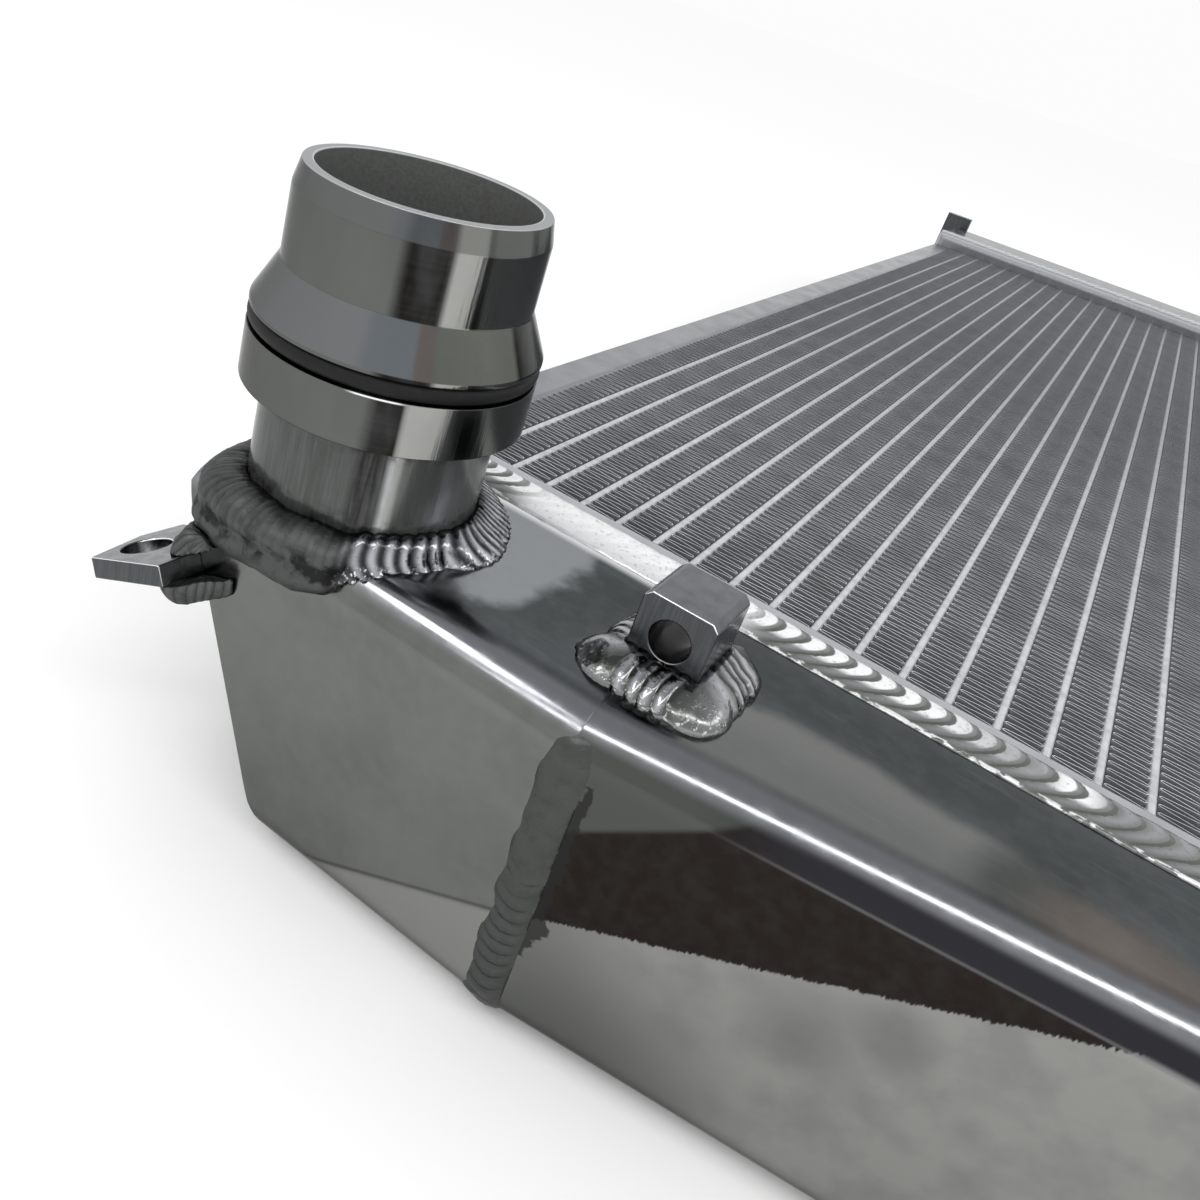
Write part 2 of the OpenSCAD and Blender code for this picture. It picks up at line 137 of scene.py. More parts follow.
def linear(hex_colour):
    """An sRGB hex colour as linear red, green, blue and a full alpha."""
    parts = [int(hex_colour[i:i + 2], 16) / 255 for i in (1, 3, 5)]
    return tuple(p / 12.92 if p <= 0.04045 else ((p + 0.055) / 1.055) ** 2.4 for p in parts) + (1.0,)


def colour_property(name, hex_colour, description):
    return FloatVectorProperty(
        name=name, description=description, default=linear(hex_colour),
        subtype="COLOR", size=4, min=0.0, max=1.0,
    )


def length_property(name, millimetres, description):
    return FloatProperty(
        name=name, description=description, default=millimetres * MM, min=0.0, unit="LENGTH",
    )


class RadiatorSizes(PropertyGroup):
    """Sizes of what is modelled over the solids"""

    fin_pitch: length_property("Fin pitch", 3.2, "Length of one whole fold of a fin strip")
    fin_thickness: length_property("Fin thickness", 0.18, "Thickness of the fin strip")
    fin_crest: length_property("Fin crest", 0.4, "Depth of the bend where a fin meets a tube")
    fin_row: length_property("Fin row", 8.0, "Width of the gap between two tubes")
    tube_pitch: length_property("Tube pitch", 10.0, "Distance from tube to tube")
    fold_radius: length_property("Fold radius", 9.0, "Outer radius of the tank's long folds")
    header_bead: length_property("Header bead", 12.0, "Width of the weld round a header")
    header_ripple: length_property("Header ripple", 4.8, "Spacing of the header weld's ripples")
    rim_shift: length_property("Rim shift", 2.8, "How far the inlet header's rim reaches over the core")
    seam_bead: length_property("Seam bead", 7.8, "Width of the weld down a tank seam")
    seam_height: length_property("Seam height", 1.0, "Height of the weld down a tank seam")
    seam_ripple: length_property("Seam ripple", 3.0, "Spacing of the seam weld's ripples")
    edge_round: length_property("Edge rounding", 0.35, "Rounding of cut and machined edges")


class RadiatorColours(PropertyGroup):
    """Colours of the metals and the seal"""

    floor: colour_property("Floor", "#fbfbfb", "Plain floor")
    wall: colour_property("Wall", "#727471", "Tank's outer wall")
    # Painted reflection: the lighter lower part of the outer wall; also the plain tank's broad tone
    wall_pale: colour_property("Pale wall", "#939390", "Hazy lower part of the outer wall")
    # Painted reflection: the dark band along the tapering wall
    wall_dark_reflection: colour_property("Dark wall", "#292422", "Deep polish along the tapering wall")
    # Darker grey: painted reflection on the polished wall, and smears, grain, scuffs and oxide elsewhere
    dark_marks_and_reflection: colour_property("Deep wall", "#525451", "Edge of the deep polish by the seam")
    # Painted highlight: the bright folds of the tank; also lighter brush and rolling marks, and painted
    # light on the block
    fold: colour_property("Fold", "#94969b", "Bright folds of the tank")
    # Painted reflection: the dark lower half of the fold along the taper
    fold_dark_reflection: colour_property("Dark fold", "#333337", "Lower half of the fold along the taper")
    # Painted shade: tubes and fin edges darker towards the far end
    far: colour_property("Far core", "#85888c", "Tubes and fin edges at the far end")
    face: colour_property("Face", "#585c5e", "Tank's upper face")
    # Painted reflections in the upper face: the pale patch, the darker patches and the warm tint
    face_pale_reflection: colour_property("Pale face", "#93979a", "Buffed patch between neck and header")
    face_dark_reflection: colour_property("Dark face", "#444948", "Cloudy patches in the upper face")
    face_warm_reflection: colour_property("Warm face", "#716863", "Warm tint in the upper face")
    satin: colour_property("Satin sheet", "#8c8e92", "Side plates")
    satin_light: colour_property("Light satin sheet", "#b9babf", "Headers")
    tube: colour_property("Tube", "#cfd2d5", "Edges of the core tubes")
    fin: colour_property("Fin", "#94979b", "Faces of the fins")
    # Painted highlight: the fins' up-facing cut edges
    fin_edge_highlight: colour_property("Fin edge", "#f0f2f4", "Cut edges of the fins")
    bead: colour_property("Bead", "#3f4244", "Weld metal in the valleys between ripples")
    bead_dull: colour_property("Dull bead", "#555756", "Overheated and ground weld metal")
    # Painted highlight: white glare and glints on the welds, the face, the block's edge, the fins and the
    # collar
    highlight_white: colour_property("White bead", "#f6f7f8", "Brightest weld metal")
    # Soot on the welds; also painted shade in the gaps between ripples and in the block's bore
    soot_and_shade: colour_property("Soot", "#2e2e2e", "Smoke left on the welds")
    milled: colour_property("Milled", "#63676a", "Block, tab and ear")
    turned: colour_property("Turned", "#5d5f5c", "Neck, its broad tone")
    turned_cone: colour_property("Turned cone", "#737577", "Neck's sloping faces")
    # Painted reflections: the dark, bright and tinted bands round the neck
    turned_dark_reflection: colour_property("Turned dark", "#1d1c1a", "Dark band down the neck")
    turned_bright_reflection: colour_property("Turned bright", "#9c9c99", "Bright band down the neck")
    turned_pink_reflection: colour_property("Turned pink", "#5f5855", "Warm band on the cone")
    turned_tube: colour_property("Turned tube", "#4a4c4a", "Neck's plain tube")
    # Painted reflections: the tinted bands on the cone
    turned_green_reflection: colour_property("Turned green", "#5f625c", "Greenish band on the cone")
    turned_blue_reflection: colour_property("Turned blue", "#676c71", "Bluish band on the cone")
    bore: colour_property("Bore", "#6a6c6a", "Matt inside of the neck")
    rim: colour_property("Rim", "#c2c4c5", "Neck's satin rim")
    rubber: colour_property("Rubber", "#0b0b0b", "Seal ring")


# Helpers for modelling


def deselect_all():
    for item in bpy.context.selected_objects:
        item.select_set(False)


def activate(piece):
    deselect_all()
    piece.select_set(True)
    bpy.context.view_layer.objects.active = piece


def edit(piece, *steps):
    """Runs edit mode operators on all of a piece."""
    activate(piece)
    bpy.ops.object.mode_set(mode="EDIT")
    bpy.ops.mesh.select_all(action="SELECT")
    for step in steps:
        step()
    bpy.ops.object.mode_set(mode="OBJECT")


def apply_modifier(piece, kind, **settings):
    activate(piece)
    modifier = piece.modifiers.new(kind, kind)
    for name, value in settings.items():
        setattr(modifier, name, value)
    bpy.ops.object.modifier_apply(modifier=modifier.name)


def named(name):
    """The object just added, under its own name."""
    piece = bpy.context.object
    piece.name = name
    return piece


def extrude(x, y, z):
    bpy.ops.mesh.extrude_region_move(TRANSFORM_OT_translate={"value": (x, y, z)})


def merge_doubles(distance=DRAWN_GAP):
    bpy.ops.mesh.select_all(action="SELECT")
    bpy.ops.mesh.remove_doubles(threshold=distance)


def join(pieces, name):
    deselect_all()
    for piece in pieces:
        piece.select_set(True)
    bpy.context.view_layer.objects.active = pieces[0]
    bpy.ops.object.join()
    return named(name)


def place(piece, origin, along, across):
    """Turns a piece from its own axes, X along and Y across, and fixes it in the frame."""
    x, y = Vector(along).normalized(), Vector(across).normalized()
    turn = Matrix((x, y, x.cross(y))).transposed().to_4x4()
    piece.matrix_world = Matrix.Translation(origin) @ turn
    activate(piece)
    bpy.ops.object.transform_apply(location=True, rotation=True, scale=True)


def copy_of(node, name):
    """A solid of the frame as a new piece, merged, with each flat face whole."""
    activate(frame["nodes"][node])
    bpy.ops.object.duplicate()
    piece = named(name)
    bpy.ops.object.parent_clear(type="CLEAR")
    for key in list(piece.keys()):
        del piece[key]
    edit(
        piece,
        lambda: merge_doubles(SOLID_GAP),
        lambda: bpy.ops.mesh.dissolve_limited(angle_limit=FLAT),
    )
    return piece


def soften(piece, width, angle=28):
    """Rounds the sharp edges, and keeps the flats flat under smooth shading."""
    apply_modifier(
        piece, "BEVEL", width=width, segments=2, limit_method="ANGLE",
        angle_limit=math.radians(angle),
    )
    smooth(piece)


def smooth(piece, angle=40):
    activate(piece)
    bpy.ops.object.shade_smooth_by_angle(angle=math.radians(angle))
    apply_modifier(piece, "WEIGHTED_NORMAL", keep_sharp=True, weight=80)


def finish(piece, slot, material, *nodes):
    """Gives a piece its metal, its body and the solids that it stands for."""
    piece.data.materials.clear()
    piece.data.materials.append(material)
    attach(piece, "root")
    if nodes:
        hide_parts(*nodes)


def dress(node, material):
    """Gives a solid of the frame its metal."""
    for slot in frame["nodes"][node].material_slots:
        slot.link = "OBJECT"
        slot.material = material


# Helpers for materials


def fill(tree, node, inputs):
    """Gives a node's sockets their links and their constant values."""
    for socket, value in inputs.items():
        if isinstance(value, bpy.types.NodeSocket):
            tree.links.new(value, node.inputs[socket])
        else:
            node.inputs[socket].default_value = value


def add_node(tree, kind, inputs=None, **settings):
    """One node with its settings and its filled sockets."""
    node = tree.nodes.new(kind)
    for name, value in settings.items():
        setattr(node, name, value)
    fill(tree, node, inputs or {})
    return node


def new_metal(name, **sockets):
    """A metal, ready to paint: its tree, its shader and the place on the piece."""
    material = bpy.data.materials.new(name)
    material.use_nodes = True
    tree = material.node_tree
    tree.nodes.clear()
    shader = add_node(tree, "ShaderNodeBsdfPrincipled", {"Metallic": 1.0})
    fill(tree, shader, {socket.replace("_", " ").title(): value for socket, value in sockets.items()})
    add_node(tree, "ShaderNodeOutputMaterial", {"Surface": shader.outputs[0]})
    place_on = add_node(tree, "ShaderNodeTexCoord").outputs["Object"]
    return material, tree, shader, place_on


def axes_of(tree, place_on):
    split = add_node(tree, "ShaderNodeSeparateXYZ", {0: place_on})
    return {"x": split.outputs[0], "y": split.outputs[1], "z": split.outputs[2]}


def facing_of(tree):
    """The way a surface faces, along each axis."""
    return axes_of(tree, add_node(tree, "ShaderNodeNewGeometry").outputs["Normal"])


def beside_axis(tree, place_on, axis, across):
    """Places measured from an axis, and their distance from it in the directions across it."""
    centred = add_node(
        tree, "ShaderNodeMapping", {"Vector": place_on, "Location": tuple(-c for c in axis)},
    ).outputs[0]
    flat = add_node(
        tree, "ShaderNodeVectorMath", {0: centred, 1: across}, operation="MULTIPLY",
    ).outputs[0]
    distance = add_node(tree, "ShaderNodeVectorMath", {0: flat}, operation="LENGTH").outputs["Value"]
    return centred, distance


def zone(tree, axes, soft, ragged=None, **ranges):
    """A mask that is 1 inside the ranges along the named axes, with soft or ragged edges."""
    ramps = []
    for axis, edges in ranges.items():
        value = axes[axis]
        if ragged is not None:
            value = scaled(tree, value, 1.0, ragged)
        for edge, outside in zip(edges, (0.0, 1.0)):
            if edge is not None:
                ramps.append(add_node(
                    tree, "ShaderNodeMapRange",
                    {0: value, 1: edge - soft, 2: edge + soft, 3: outside, 4: 1.0 - outside},
                    interpolation_type="SMOOTHSTEP",
                ).outputs[0])
    return times(tree, *ramps)


def spot(tree, place_on, centre, radii, turn=0.0, soft=0.3, ragged=None):
    """A mask that is 1 inside an oval patch and fades out at its edge: centre and radii in
    millimetres, with a turn in degrees seen from above."""
    mapping = add_node(
        tree, "ShaderNodeMapping",
        {
            "Vector": place_on, "Location": tuple(c * MM for c in centre),
            "Rotation": (0, 0, math.radians(turn)), "Scale": tuple(r * MM for r in radii),
        },
        vector_type="TEXTURE",
    )
    distance = add_node(
        tree, "ShaderNodeVectorMath", {0: mapping.outputs[0]}, operation="LENGTH",
    ).outputs["Value"]
    if ragged is not None:
        distance = scaled(tree, distance, 1.0, ragged)
    return add_node(
        tree, "ShaderNodeMapRange", {0: distance, 1: 1 - soft, 2: 1 + soft, 3: 1.0, 4: 0.0},
        interpolation_type="SMOOTHSTEP",
    ).outputs[0]


def times(tree, *masks):
    result = masks[0]
    for mask in masks[1:]:
        result = add_node(tree, "ShaderNodeMath", {0: result, 1: mask}, operation="MULTIPLY").outputs[0]
    return result


def either(tree, first, second):
    """A mask as strong as the stronger of two."""
    return add_node(tree, "ShaderNodeMath", {0: first, 1: second}, operation="MAXIMUM").outputs[0]


def cloud(tree, place_on, size, low, high, stretch=(1, 1, 1), detail=3.0, turn=0.0):
    """Soft patches of about one size, stretched along the axes, as a mask from 0 to 1."""
    mapping = add_node(
        tree, "ShaderNodeMapping",
        {"Vector": place_on, "Rotation": (0, 0, turn), "Scale": tuple(1 / (size * s) for s in stretch)},
    )
    patches = add_node(
        tree, "ShaderNodeTexNoise", {"Vector": mapping.outputs[0], "Scale": 1.0, "Detail": detail},
    )
    return add_node(
        tree, "ShaderNodeMapRange", {0: patches.outputs[0], 1: low, 2: high},
    ).outputs[0]


def scaled(tree, mask, amount, offset=0.0):
    return add_node(
        tree, "ShaderNodeMath", {0: mask, 1: amount, 2: offset}, operation="MULTIPLY_ADD",
    ).outputs[0]


def layered(tree, base, *layers):
    """Coats over a base: each a mask, a colour and, if it covers only in part, its share."""
    colour = base
    for mask, coat, *share in layers:
        if share:
            mask = scaled(tree, mask, *share)
        colour = add_node(
            tree, "ShaderNodeMix", {0: mask, 6: colour, 7: coat}, data_type="RGBA",
        ).outputs[2]
    return colour


def relief(tree, shader, height, distance, strength=1.0):
    bump = add_node(
        tree, "ShaderNodeBump", {"Height": height, "Distance": distance, "Strength": strength},
    )
    fill(tree, shader, {"Normal": bump.outputs[0]})


# Metals


def polished_tank(colours, sizes):
    """Mirror-polished aluminium sheet: painted dark and light reflections, clouds, brush marks, and folds
    painted bright as a highlight.
    """
    material, tree, shader, place_on = new_metal("polished_sheet", specular_tint=(0.5, 0.5, 0.5, 1))
    axes = axes_of(tree, place_on)

    def above_line(name, slope, x, z):
        """Height over a slanting line on the outer wall, as one more axis."""
        height = scaled(tree, axes["z"], 1.0, (slope * x - z) * MM)
        axes[name] = scaled(tree, axes["x"], -slope, height)

    above_line("over", slope=0.427, x=-119.6, z=31.7)
    above_line("under", slope=0.70, x=-119.3, z=52.9)
    above_line("low", slope=0.5, x=-150.0, z=15.9)
    brush = cloud(tree, place_on, 0.5 * MM, 0.3, 0.7, stretch=(1, 1, 8))
    ragged = scaled(tree, brush, 0.9 * MM, -0.45 * MM)
    patches = cloud(tree, place_on, 22 * MM, 0.35, 0.7)
    smudges = cloud(tree, place_on, 9 * MM, 0.42, 0.66, detail=4.0)
    fine = cloud(tree, place_on, 3 * MM, 0.4, 0.75, detail=5.0)
    streaks = cloud(tree, place_on, 0.9 * MM, 0.55, 0.75, stretch=(14, 1, 1), turn=0.5)
    wobble = scaled(tree, smudges, 0.12, -0.06)

    # The wall's look ends part of the way up the fold, and above it the fold is painted bright as a
    # highlight
    on_wall = zone(tree, axes, 1.2 * MM, z=(None, tank_top - 0.36 * sizes.fold_radius))
    past_seam = zone(tree, axes, 0.3 * MM, x=(seam_x, None))
    before_seam = zone(tree, axes, 0.3 * MM, x=(None, seam_x))
    by_seam = zone(tree, axes, 12 * MM, x=(seam_x - 20 * MM, seam_x + 14 * MM))
    # The dark painted reflection lies between the slanting edge and the fold, past the seam
    dark = times(tree, zone(tree, axes, 0.35 * MM, ragged=ragged, over=(0.0, None)), past_seam)
    hollow = times(tree, dark, zone(tree, axes, 0.9 * MM, under=(None, 0.0)))
    # Painted reflections on the lower wall: paler before the seam with a dark edge, and past the seam paler
    # with darker blotches and a darker low corner
    pale_reflection = times(tree, zone(tree, axes, 1.0 * MM, low=(None, 0.0)), before_seam)
    pale_reflection_edge = times(tree, zone(tree, axes, 0.4 * MM, low=(0.2 * MM, 1.0 * MM)), before_seam)
    lower = add_node(tree, "ShaderNodeMath", {0: past_seam, 1: dark}, operation="SUBTRACT").outputs[0]

    def wall_patch(x, z, length, height, soft):
        return spot(tree, place_on, (x, 0, z), (length, ENDLESS, height), 0, soft, wobble)
    reflection_blotches = times(
        tree, lower, either(tree, wall_patch(-74, 39, 8, 7, 0.8), wall_patch(-63.5, 47, 6, 6, 0.8)),
    )
    low_corner_reflection = times(tree, lower, wall_patch(-108, 0, 26, 26, 0.6))
    wander = scaled(tree, cloud(tree, place_on, 4 * MM, 0.3, 0.7), 3.0 * MM, -1.5 * MM)
    beside_bead = zone(
        tree, axes, 0.3 * MM, ragged=wander,
        x=(seam_x + 3.6 * MM, seam_x + 6.4 * MM), z=(23 * MM, 62 * MM),
    )
    wall = layered(
        tree, colours.wall,
        (patches, colours.dark_marks_and_reflection, 0.3),
        (past_seam, colours.wall_pale, 0.85),
        (times(tree, by_seam, past_seam), colours.wall, 0.6),
        (smudges, colours.wall, 0.45),
        (fine, colours.wall_pale, 0.1),
        (dark, colours.dark_marks_and_reflection),
        (hollow, colours.wall_dark_reflection),
        (times(tree, hollow, fine), colours.dark_marks_and_reflection, 0.12),
        (reflection_blotches, colours.dark_marks_and_reflection, 0.4),
        (low_corner_reflection, colours.dark_marks_and_reflection, 0.75),
        (beside_bead, colours.soot_and_shade, 0.85),
        (pale_reflection, colours.wall_pale, 0.75),
        (pale_reflection_edge, colours.wall_dark_reflection, 0.5),
    )

    # Painted reflections in the upper face: darker, warm and pale patches, and white glare beside the
    # header bead
    header_glare = zone(tree, axes, 1.6 * MM, x=(-185 * MM, -124 * MM), y=(-338.5 * MM, None))

    def patch(x, y, length, width, turn=0.0, soft=0.5):
        return spot(tree, place_on, (x, y, 0), (length, width, ENDLESS), turn, soft, wobble)
    face = layered(
        tree, colours.face,
        (patches, colours.face_dark_reflection, 0.3),
        (patch(-160, -380, 9, 6, 20), colours.face_dark_reflection, 0.85),
        (patch(-141, -357, 8, 17, -15), colours.face_dark_reflection, 0.6),
        (patch(-84, -346, 50, 7), colours.face_dark_reflection, 0.6),
        (patch(-84, -367, 44, 12, 2, 0.18), colours.wall_pale, 0.55),
        (patch(-86, -371, 40, 8, 2, 0.6), colours.face, 0.3),
        (patch(-56, -364, 9, 13, -20), colours.face_dark_reflection, 0.8),
        (patch(-40, -367, 15, 9, -10), colours.face_warm_reflection, 0.8),
        (patch(-168.5, -353, 22.5, 26, 0, 0.1), colours.face_pale_reflection),
        (fine, colours.wall_pale, 0.1),
        (streaks, colours.fold, 0.08),
        (header_glare, colours.highlight_white, 0.85),
    )
    on_face = zone(tree, axes, 0.3 * MM, z=(tank_top - 0.4 * MM, None))
    along_taper = zone(tree, axes, 14 * MM, x=(-92 * MM, None))
    # Painted reflection and highlight low on the fold along the taper: a dark band and a light line
    fold_reflection_band = times(tree, along_taper, zone(tree, axes, 0.7 * MM, z=(66.8 * MM, 70.3 * MM)))
    fold_highlight_line = times(tree, along_taper, zone(tree, axes, 0.25 * MM, z=(66.2 * MM, 66.7 * MM)))
    # Painted highlight: the fold's own colour is bright, under the wall and the face
    paint = layered(
        tree, colours.fold,
        (on_wall, wall), (on_face, face),
        (fold_reflection_band, colours.fold_dark_reflection), (fold_highlight_line, colours.turned_cone, 0.5),
    )
    fill(tree, shader, {"Base Color": paint, "Roughness": scaled(tree, fine, 0.1, 0.14)})
    relief(tree, shader, streaks, 0.01 * MM, 0.5)
    return material


def plain_tank(colours):
    """Polished aluminium sheet out of sight: soft clouds and brush marks."""
    material, tree, shader, place_on = new_metal("polished_sheet_plain", specular_tint=(0.6, 0.6, 0.6, 1))
    patches = cloud(tree, place_on, 40 * MM, 0.35, 0.7, stretch=(2, 1, 1))
    fine = cloud(tree, place_on, 6 * MM, 0.4, 0.75, detail=5.0)
    streaks = cloud(tree, place_on, 1.2 * MM, 0.55, 0.75, stretch=(16, 1, 1))
    paint = layered(
        tree, colours.wall_pale,
        (patches, colours.wall, 0.7),
        (fine, colours.satin, 0.3),
        (streaks, colours.fold, 0.3),
    )
    # Painted light: the far tank's upper faces lighter
    far_tank = zone(tree, axes_of(tree, place_on), 20 * MM, y=(0, None))
    far_top_light = times(tree, zone(tree, facing_of(tree), 0.4, z=(0.6, None)), far_tank)
    paint = layered(tree, paint, (far_top_light, colours.tube, 0.8))
    fill(tree, shader, {"Base Color": paint, "Roughness": scaled(tree, fine, 0.15, 0.16)})
    relief(tree, shader, streaks, 0.02 * MM, 0.6)
    return material


def satin_sheet(name, colours, base, top=None):
    """Mill-finish aluminium sheet: rolling lines along its length, faint scuffs and, if given, a top
    painted lighter as light.
    """
    material, tree, shader, place_on = new_metal(name, metallic=0.6 if top else 1.0)
    lines = cloud(tree, place_on, 0.7 * MM, 0.35, 0.7, stretch=(30, 30, 1))
    scuffs = cloud(tree, place_on, 9 * MM, 0.4, 0.7, detail=6.0)
    paint = layered(
        tree, base,
        (lines, colours.fold, 0.15),
        (scuffs, colours.wall, 0.12),
    )
    # Painted light: the upper faces lighter
    if top:
        paint = layered(tree, paint, (zone(tree, facing_of(tree), 0.35, z=(0.55, None)), top))
    fill(tree, shader, {"Base Color": paint, "Roughness": scaled(tree, scuffs, 0.1, 0.26)})
    relief(tree, shader, lines, 0.02 * MM, 0.4)
    return material


def turned_neck(name, colours, axis):
    """Aluminium turned on a lathe and polished: painted reflections in bands down its sides, a satin rim, a
    matt bore.
    """
    material, tree, shader, place_on = new_metal(name, specular_tint=(0.6, 0.6, 0.6, 1))
    centred, distance = beside_axis(tree, place_on, axis, (1, 1, 0))
    axes = axes_of(tree, centred)
    angle = add_node(
        tree, "ShaderNodeMath", {0: axes["y"], 1: axes["x"]}, operation="ARCTAN2",
    ).outputs[0]
    turn = scaled(tree, angle, 1 / (2 * math.pi), 0.5)
    axes.update(r=distance, turn=turn)

    def bands(*stops):
        """Colours round the neck, each at its turn in degrees."""
        ramp = add_node(tree, "ShaderNodeValToRGB", {0: turn})
        elements = ramp.color_ramp.elements
        for _ in stops[2:]:
            elements.new(0.5)
        for element, (degrees, colour) in zip(elements, stops):
            element.position = degrees / 360 + 0.5
            element.color = colour
        return ramp.outputs[0]

    # Painted reflections: light and dark bands round the neck, one set for each part of it
    straight = bands(
        (-180, colours.turned), (-62, colours.turned), (-57, colours.turned_dark_reflection),
        (-41, colours.turned_dark_reflection), (-38, colours.turned_bright_reflection), (-27, colours.turned_bright_reflection),
        (-25, colours.turned_dark_reflection), (-22, colours.turned), (20, colours.turned_cone),
        (60, colours.turned), (100, colours.turned_bright_reflection), (180, colours.turned),
    )
    sloping = bands(
        (-180, colours.turned), (-68, colours.turned_cone), (-64, colours.turned_blue_reflection),
        (-48, colours.turned_blue_reflection), (-46, colours.turned_pink_reflection), (-41, colours.turned_pink_reflection),
        (-39, colours.turned_green_reflection), (-3, colours.turned_green_reflection), (0, colours.turned_dark_reflection),
        (14, colours.turned), (90, colours.turned_cone), (180, colours.turned),
    )
    collar = bands(
        (-180, colours.turned), (-61, colours.turned), (-56.5, colours.turned_dark_reflection),
        (-47.5, colours.turned_dark_reflection), (-46, colours.turned_bright_reflection), (-33, colours.turned_bright_reflection),
        (-27, colours.turned_tube), (-10, colours.turned), (30, colours.turned_cone),
        (60, colours.turned), (180, colours.turned),
    )
    tube = bands(
        (-180, colours.turned_tube), (-62, colours.turned_tube), (-58, colours.turned_dark_reflection),
        (-47, colours.turned_dark_reflection), (-45.5, colours.rim), (-41, colours.turned_bright_reflection),
        (-39, colours.turned), (-25, colours.turned), (-17, colours.turned_cone),
        (0, colours.turned), (180, colours.turned_tube),
    )

    def level(low, high, soft=0.1):
        """A mask between two heights in millimetres over the tank's face."""
        low, high = (None if height is None else height * MM for height in (low, high))
        return zone(tree, axes, soft * MM, z=(low, high))
    on_cone = level(CONE_LOW - 0.2, CONE_TOP, 0.15)
    on_lip = level(LIP_LOW, None, 0.15)
    on_tube = level(None, TUBE_TOP + 0.1)
    on_collar = level(TUBE_TOP + 0.3, GROOVE_LOW + 1.4)
    on_rim = level(RIM_TOP - 0.2, None)
    in_bore = zone(tree, axes, 0.15 * MM, r=(None, (NECK_BORE + 0.3) * MM))
    # Two painted highlights on the collar's edges, each over a part of a turn
    collar_highlight = level(GROOVE_LOW - 0.35, GROOVE_LOW + 0.2, 0.12)
    collar_highlight = times(tree, collar_highlight, zone(tree, axes, 0.008, turn=(0.315, 0.366)))
    collar_foot_highlight = level(COLLAR_LOW - 0.4, COLLAR_LOW + 0.1)
    collar_foot_highlight = times(tree, collar_foot_highlight, zone(tree, axes, 0.03, turn=(0.37, 0.52)))
    # Lathe marks run round the neck, and brushed scratches run down its plain tube
    scratches = cloud(tree, centred, 0.8 * MM, 0.4, 0.7, stretch=(1, 1, 16))
    smears = cloud(tree, centred, 5 * MM, 0.4, 0.7, stretch=(1, 1, 2.5))
    stains = cloud(tree, centred, 2.2 * MM, 0.45, 0.65, detail=5.0)
    lathe = cloud(tree, centred, 0.6 * MM, 0.4, 0.7, stretch=(40, 40, 1))
    grain = cloud(tree, centred, 0.7 * MM, 0.35, 0.75)
    paint = layered(
        tree, straight,
        (on_cone, sloping), (on_lip, sloping, 0.5), (on_collar, collar), (on_tube, tube),
        (lathe, colours.turned_cone, 0.04),
        (smears, colours.turned_cone, 0.15),
        (collar_highlight, colours.highlight_white),
    )
    # Smoke from the welding darkens the tube by the bead at its foot, and the tube is darker just under the
    # collar
    smoke = times(tree, level(None, 7.5, 2.5), stains)
    under_collar = times(tree, level(TUBE_TOP - 1.9, None, 1.2), stains)
    worn = layered(
        tree, paint,
        (scratches, colours.turned_cone, 0.3),
        (smears, colours.dark_marks_and_reflection, 0.3),
        (smoke, colours.soot_and_shade, 0.8),
        (under_collar, colours.soot_and_shade, 0.8),
    )
    bore = layered(tree, colours.bore, (grain, colours.dark_marks_and_reflection, 0.6))
    paint = layered(
        tree, paint,
        (on_tube, worn), (collar_foot_highlight, colours.rim), (in_bore, bore), (on_rim, colours.rim),
    )
    plain = either(tree, in_bore, scaled(tree, on_tube, 0.55))
    fill(tree, shader, {
        "Base Color": paint,
        "Metallic": scaled(tree, plain, -0.75, 1.0),
        "Roughness": scaled(tree, either(tree, in_bore, on_rim), 0.3, 0.16),
    })
    relief(tree, shader, scratches, 0.03 * MM, 0.4)
    return material


